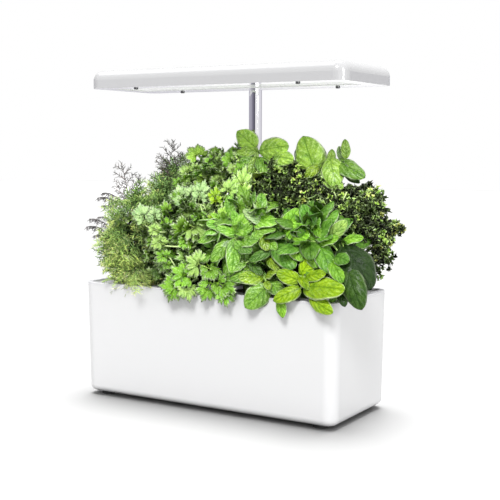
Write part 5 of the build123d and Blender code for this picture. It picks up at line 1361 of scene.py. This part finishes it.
def sponge(i):
    lo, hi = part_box(f"grow_sponge_{i}")
    cx, cy = POD[i]
    r_top = min(hi.x - lo.x, hi.y - lo.y) / 2
    n, h = 56, hi.z - lo.z
    rows = [(0.0, 0.0), (0.35, 0.0), (0.7, 0.0), (0.93, 0.0), (1.0, 0.03)] + [(1.0, k) for k in np.linspace(0.08, 0.94, 14)] + [(1.0, 0.975), (0.93, 1.0), (0.75, 1.0), (0.55, 1.0), (0.35, 1.0), (0.15, 1.0)]
    v = []
    for k, (s, q) in enumerate(rows):
        taper = 0.86 + 0.14 * q
        for j in range(n):
            a = j * 2 * math.pi / n
            s_ = max(s, 0.02)
            v.append((s_ * taper * math.cos(a), s_ * taper * math.sin(a), q))
    v = np.array(v)
    p = v * np.array([1.0, 1.0, h / r_top])
    bump = value_noise(p * 7.0, 100 + i) * 0.030 + value_noise(p * 22.0, 200 + i) * 0.022
    groove = 0.03 * np.maximum(0, np.cos(4 * np.arctan2(v[:, 1], v[:, 0]))) ** 8
    side = np.hypot(v[:, 0], v[:, 1])
    scale = 1 - 0.055 - np.maximum(0, bump) * 0.6 - groove * (side > 0.5)
    z = np.clip(v[:, 2] - np.abs(bump) * 0.30 * (v[:, 2] > 0.9) - 0.16 * np.exp(-(side / 0.18) ** 2) * (v[:, 2] > 0.5), 0.0, 1.0)
    co = np.stack([cx + v[:, 0] * scale * r_top, cy + v[:, 1] * scale * r_top, lo.z + z * h], -1)
    m = len(rows)
    i0 = np.arange(m - 1)[:, None] * n
    j0 = np.arange(n)[None, :]
    quads = np.stack([i0 + j0, i0 + (j0 + 1) % n, i0 + n + (j0 + 1) % n, i0 + n + j0], -1).reshape(-1, 4)
    first, last = len(co), len(co) + 1
    co = np.concatenate([co, co[:n].mean(0)[None], co[-n:].mean(0)[None]])
    tris = [[first, (j + 1) % n, j] for j in range(n)] + [[last, (m - 1) * n + j, (m - 1) * n + (j + 1) % n] for j in range(n)]
    heap = Heap()
    heap.add(co, quads, np.array(tris), (0.1, 0.06, 0.03), (0, 0, 0))
    o = heap.object(f"sponge_plug_{i}", SPONGE)
    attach(o, f"pod_{i}")
    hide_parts(f"grow_sponge_{i}")


SPONGE = sponge_material()
for pod in range(1, 9):
    sponge(pod)


def coiled_lead():
    """The curly lead inside the mast: a helix inside the outline of its CAD cylinder."""
    lo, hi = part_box("mast_lead")
    cx, cy = 0.5 * (lo.x + hi.x), 0.5 * (lo.y + hi.y)
    wire, r = 0.00105, 0.5 * (hi.x - lo.x) - 0.00105 - 0.0001
    split = lo.z + 0.034  # the hood's lead ends here, and comes down 28 mm as the middle tube goes in
    z0, z1 = split + 0.003, hi.z - 0.003
    turns = 84
    k = np.arange(turns * 14 + 1)
    a = k * 2 * math.pi / 14
    ease = np.minimum(1, np.minimum(k, k[::-1]) / 20.0)
    path = np.stack([cx + r * ease * np.cos(a), cy + r * ease * np.sin(a), z0 + (z1 - z0) * k / k[-1]], -1)
    path = np.concatenate([[[cx, cy, split]], path, [[cx, cy, hi.z - 0.0006]]])
    v, q, t = tube(path, wire, 6)
    heap = Heap()
    heap.add(v, q, t, (0.02, 0.02, 0.02), (0, 0, 0))
    o = heap.object("mast_lead_coil", MATS["lead_black"])
    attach(o, "lamp")
    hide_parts("mast_lead")
    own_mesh(o)
    k = np.linspace(0, 1, 15)[:, None]
    bow = np.array([0.0012, 0.0006, 0.0]) * np.sin(k * math.pi * 2)
    v, q, t = tube([cx, cy, lo.z + 0.0006] + bow + k * [0, 0, split - lo.z], wire * 0.92, 8)
    tail = Heap()
    tail.add(v, q, t, (0.02, 0.02, 0.02), (0, 0, 0))
    o = tail.object("mast_lead_tail", MATS["lead_black"])
    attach(o, "deck")
    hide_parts("mast_lead")


coiled_lead()

# ------------------------------------------------------------------ floor and light
def stage_floor():
    me = bpy.data.meshes.new("floor")
    me.from_pydata([(-6, -6, 0), (6, -6, 0), (6, 6, 0), (-6, 6, 0)], [], [(0, 1, 2, 3)])
    o = bpy.data.objects.new("floor", me)
    bpy.context.scene.collection.objects.link(o)
    t = Tree("floor_pale")
    t.set(color=t.blend(t.noise(3.0), (0.485, 0.485, 0.485), (0.50, 0.50, 0.50)), rough=0.8, spec=0.05)
    me.materials.append(t.mat)
    return o


def world(strength):
    w = bpy.data.worlds.new("studio")
    bpy.context.scene.world = w
    w.use_nodes = True
    bg = w.node_tree.nodes["Background"]
    bg.inputs["Color"].default_value = (1.0, 1.0, 1.0, 1.0)
    bg.inputs["Strength"].default_value = strength


def panel(name, place, target, size, power, colour=(1, 1, 1)):
    data = bpy.data.lights.new(name, "AREA")
    data.shape = "RECTANGLE"
    data.size, data.size_y = size
    data.energy = power
    data.color = colour
    o = bpy.data.objects.new(name, data)
    bpy.context.scene.collection.objects.link(o)
    place, target = np.array(place, float), np.array(target, float)
    z = unit(place - target)
    x = unit(np.cross([0, 0, 1.0], z)) if abs(z[2]) < 0.99 else np.array([1.0, 0, 0])
    y = np.cross(z, x)
    o.matrix_world = Matrix([[x[i], y[i], z[i], place[i]] for i in range(3)] + [[0, 0, 0, 1]])


def overhead(name, centre, half, tone):
    """A flat studio card overhead that only reflections show."""
    (x, y, z), (a, b) = centre, half
    me = bpy.data.meshes.new(name)
    me.from_pydata([(x - a, y - b, z), (x + a, y - b, z), (x + a, y + b, z), (x - a, y + b, z)], [], [(0, 3, 2, 1)])
    reflective_only(name, me, tone)


def reflective_only(name, me, tone):
    mat = bpy.data.materials.new(name)
    mat.use_nodes = True
    nt = mat.node_tree
    nt.nodes.clear()
    out = nt.nodes.new("ShaderNodeOutputMaterial")
    glow = nt.nodes.new("ShaderNodeEmission")
    glow.inputs["Color"].default_value = tuple(tone) + (1.0,)
    nt.links.new(glow.outputs[0], out.inputs[0])
    me.materials.append(mat)
    o = bpy.data.objects.new(name, me)
    bpy.context.scene.collection.objects.link(o)
    o.visible_camera = o.visible_diffuse = o.visible_transmission = o.visible_shadow = o.visible_volume_scatter = False


def reflector(name, start, end, tone, radius=1.75, low=0.03, high=0.62):
    """A curved studio card round the mast that only reflections show. Angles are from the camera's side, left negative."""
    front = math.atan2(EYE[1] - 0.053, EYE[0])
    n = max(2, int(abs(end - start) / 4))
    pts = []
    for a in np.radians(np.linspace(start, end, n + 1)):
        x, y = radius * math.cos(front + a), 0.053 + radius * math.sin(front + a)
        pts += [(x, y, low), (x, y, high)]
    me = bpy.data.meshes.new(name)
    me.from_pydata(pts, [], [(2 * i, 2 * i + 2, 2 * i + 3, 2 * i + 1) for i in range(n)])
    reflective_only(name, me, tone)


def ambient(tone, radius=5.0):
    """A dome that only soft light reaches from: it sets how bright the shade is."""
    n, m = 24, 8
    pts = [(0.0, 0.0, radius)]
    for i in range(1, m + 1):
        e = math.pi / 2 * (1 - i / m)
        for k in range(n):
            a = 2 * math.pi * k / n
            pts.append((radius * math.cos(e) * math.cos(a), radius * math.cos(e) * math.sin(a), radius * math.sin(e) - 0.02))
    faces = [(0, 1 + k, 1 + (k + 1) % n) for k in range(n)]
    for i in range(m - 1):
        for k in range(n):
            p, q = 1 + i * n, 1 + (i + 1) * n
            faces.append((p + k, q + k, q + (k + 1) % n, p + (k + 1) % n))
    me = bpy.data.meshes.new("ambient_dome")
    me.from_pydata(pts, [], faces)
    mat = bpy.data.materials.new("ambient_dome")
    mat.use_nodes = True
    nt = mat.node_tree
    nt.nodes.clear()
    out = nt.nodes.new("ShaderNodeOutputMaterial")
    glow = nt.nodes.new("ShaderNodeEmission")
    glow.inputs["Color"].default_value = tuple(tone) + (1.0,)
    nt.links.new(glow.outputs[0], out.inputs[0])
    me.materials.append(mat)
    o = bpy.data.objects.new("ambient_dome", me)
    bpy.context.scene.collection.objects.link(o)
    o.visible_camera = o.visible_glossy = o.visible_transmission = o.visible_shadow = o.visible_volume_scatter = False


def lit_by(light, objects, state, blockers=()):
    """Keeps a lamp to some objects, or off them, and lets only the blockers shade it if any are named."""
    for field, group, mode in (("receiver", objects, state), ("blocker", blockers, "INCLUDE")):
        if group:
            c = bpy.data.collections.new(f"{light.name}_{field}")
            setattr(light.light_linking, f"{field}_collection", c)
            for o in group:
                c.objects.link(o)
            for row in c.collection_objects:
                row.light_linking.link_state = mode


def sun(name, towards, strength, width):
    """Even light from one direction over the whole floor."""
    data = bpy.data.lights.new(name, "SUN")
    data.energy = strength
    data.angle = math.radians(width)
    o = bpy.data.objects.new(name, data)
    bpy.context.scene.collection.objects.link(o)
    z = unit(np.array(towards, float))
    x = unit(np.cross([0, 0, 1.0], z))
    y = np.cross(z, x)
    o.matrix_world = Matrix([[x[i], y[i], z[i], 2.0 * z[i]] for i in range(3)] + [[0, 0, 0, 1]])
    return o


floor = stage_floor()
world(1.0)
ambient((0.46, 0.46, 0.46))
for lamp in (sun("top", (-0.24, 0.46, 1.3), 2.7, 28), sun("key", (0.24, -1.0, 1.10), 3.6, 22), sun("fill", (1.0, -0.30, 0.26), 1.75, 24)):
    lit_by(lamp, [floor], "EXCLUDE")
lit_by(sun("floor_light", (-0.15, 0.25, 1.0), 5.8, 48), [floor], "INCLUDE", [bpy.data.objects[n] for n in ("tank_shell", "rubber_feet")])
overhead("card_top", (-0.75, -0.10, 1.5), (0.55, 0.55), (3.2, 3.2, 3.2))
reflector("card_1", -180, -92, (0.46, 0.45, 0.52), low=0.275)
reflector("card_2", -92, -62, (0.40, 0.39, 0.46))
reflector("card_3", -62, -34, (0.24, 0.23, 0.29))
reflector("card_4", -34, -2, (0.12, 0.115, 0.15))
reflector("card_5", 66, 110, (0.85, 0.85, 0.88))
reflector("card_6", 110, 180, (0.50, 0.49, 0.55), low=0.275)
reflector("card_7", 4, 52, (6.0, 6.0, 6.0), low=0.06, high=0.25)
scene = bpy.context.scene
scene.view_settings.view_transform = "Standard"
scene.view_settings.look = "None"
scene.view_settings.exposure = 0.0
scene.view_settings.gamma = 1.0
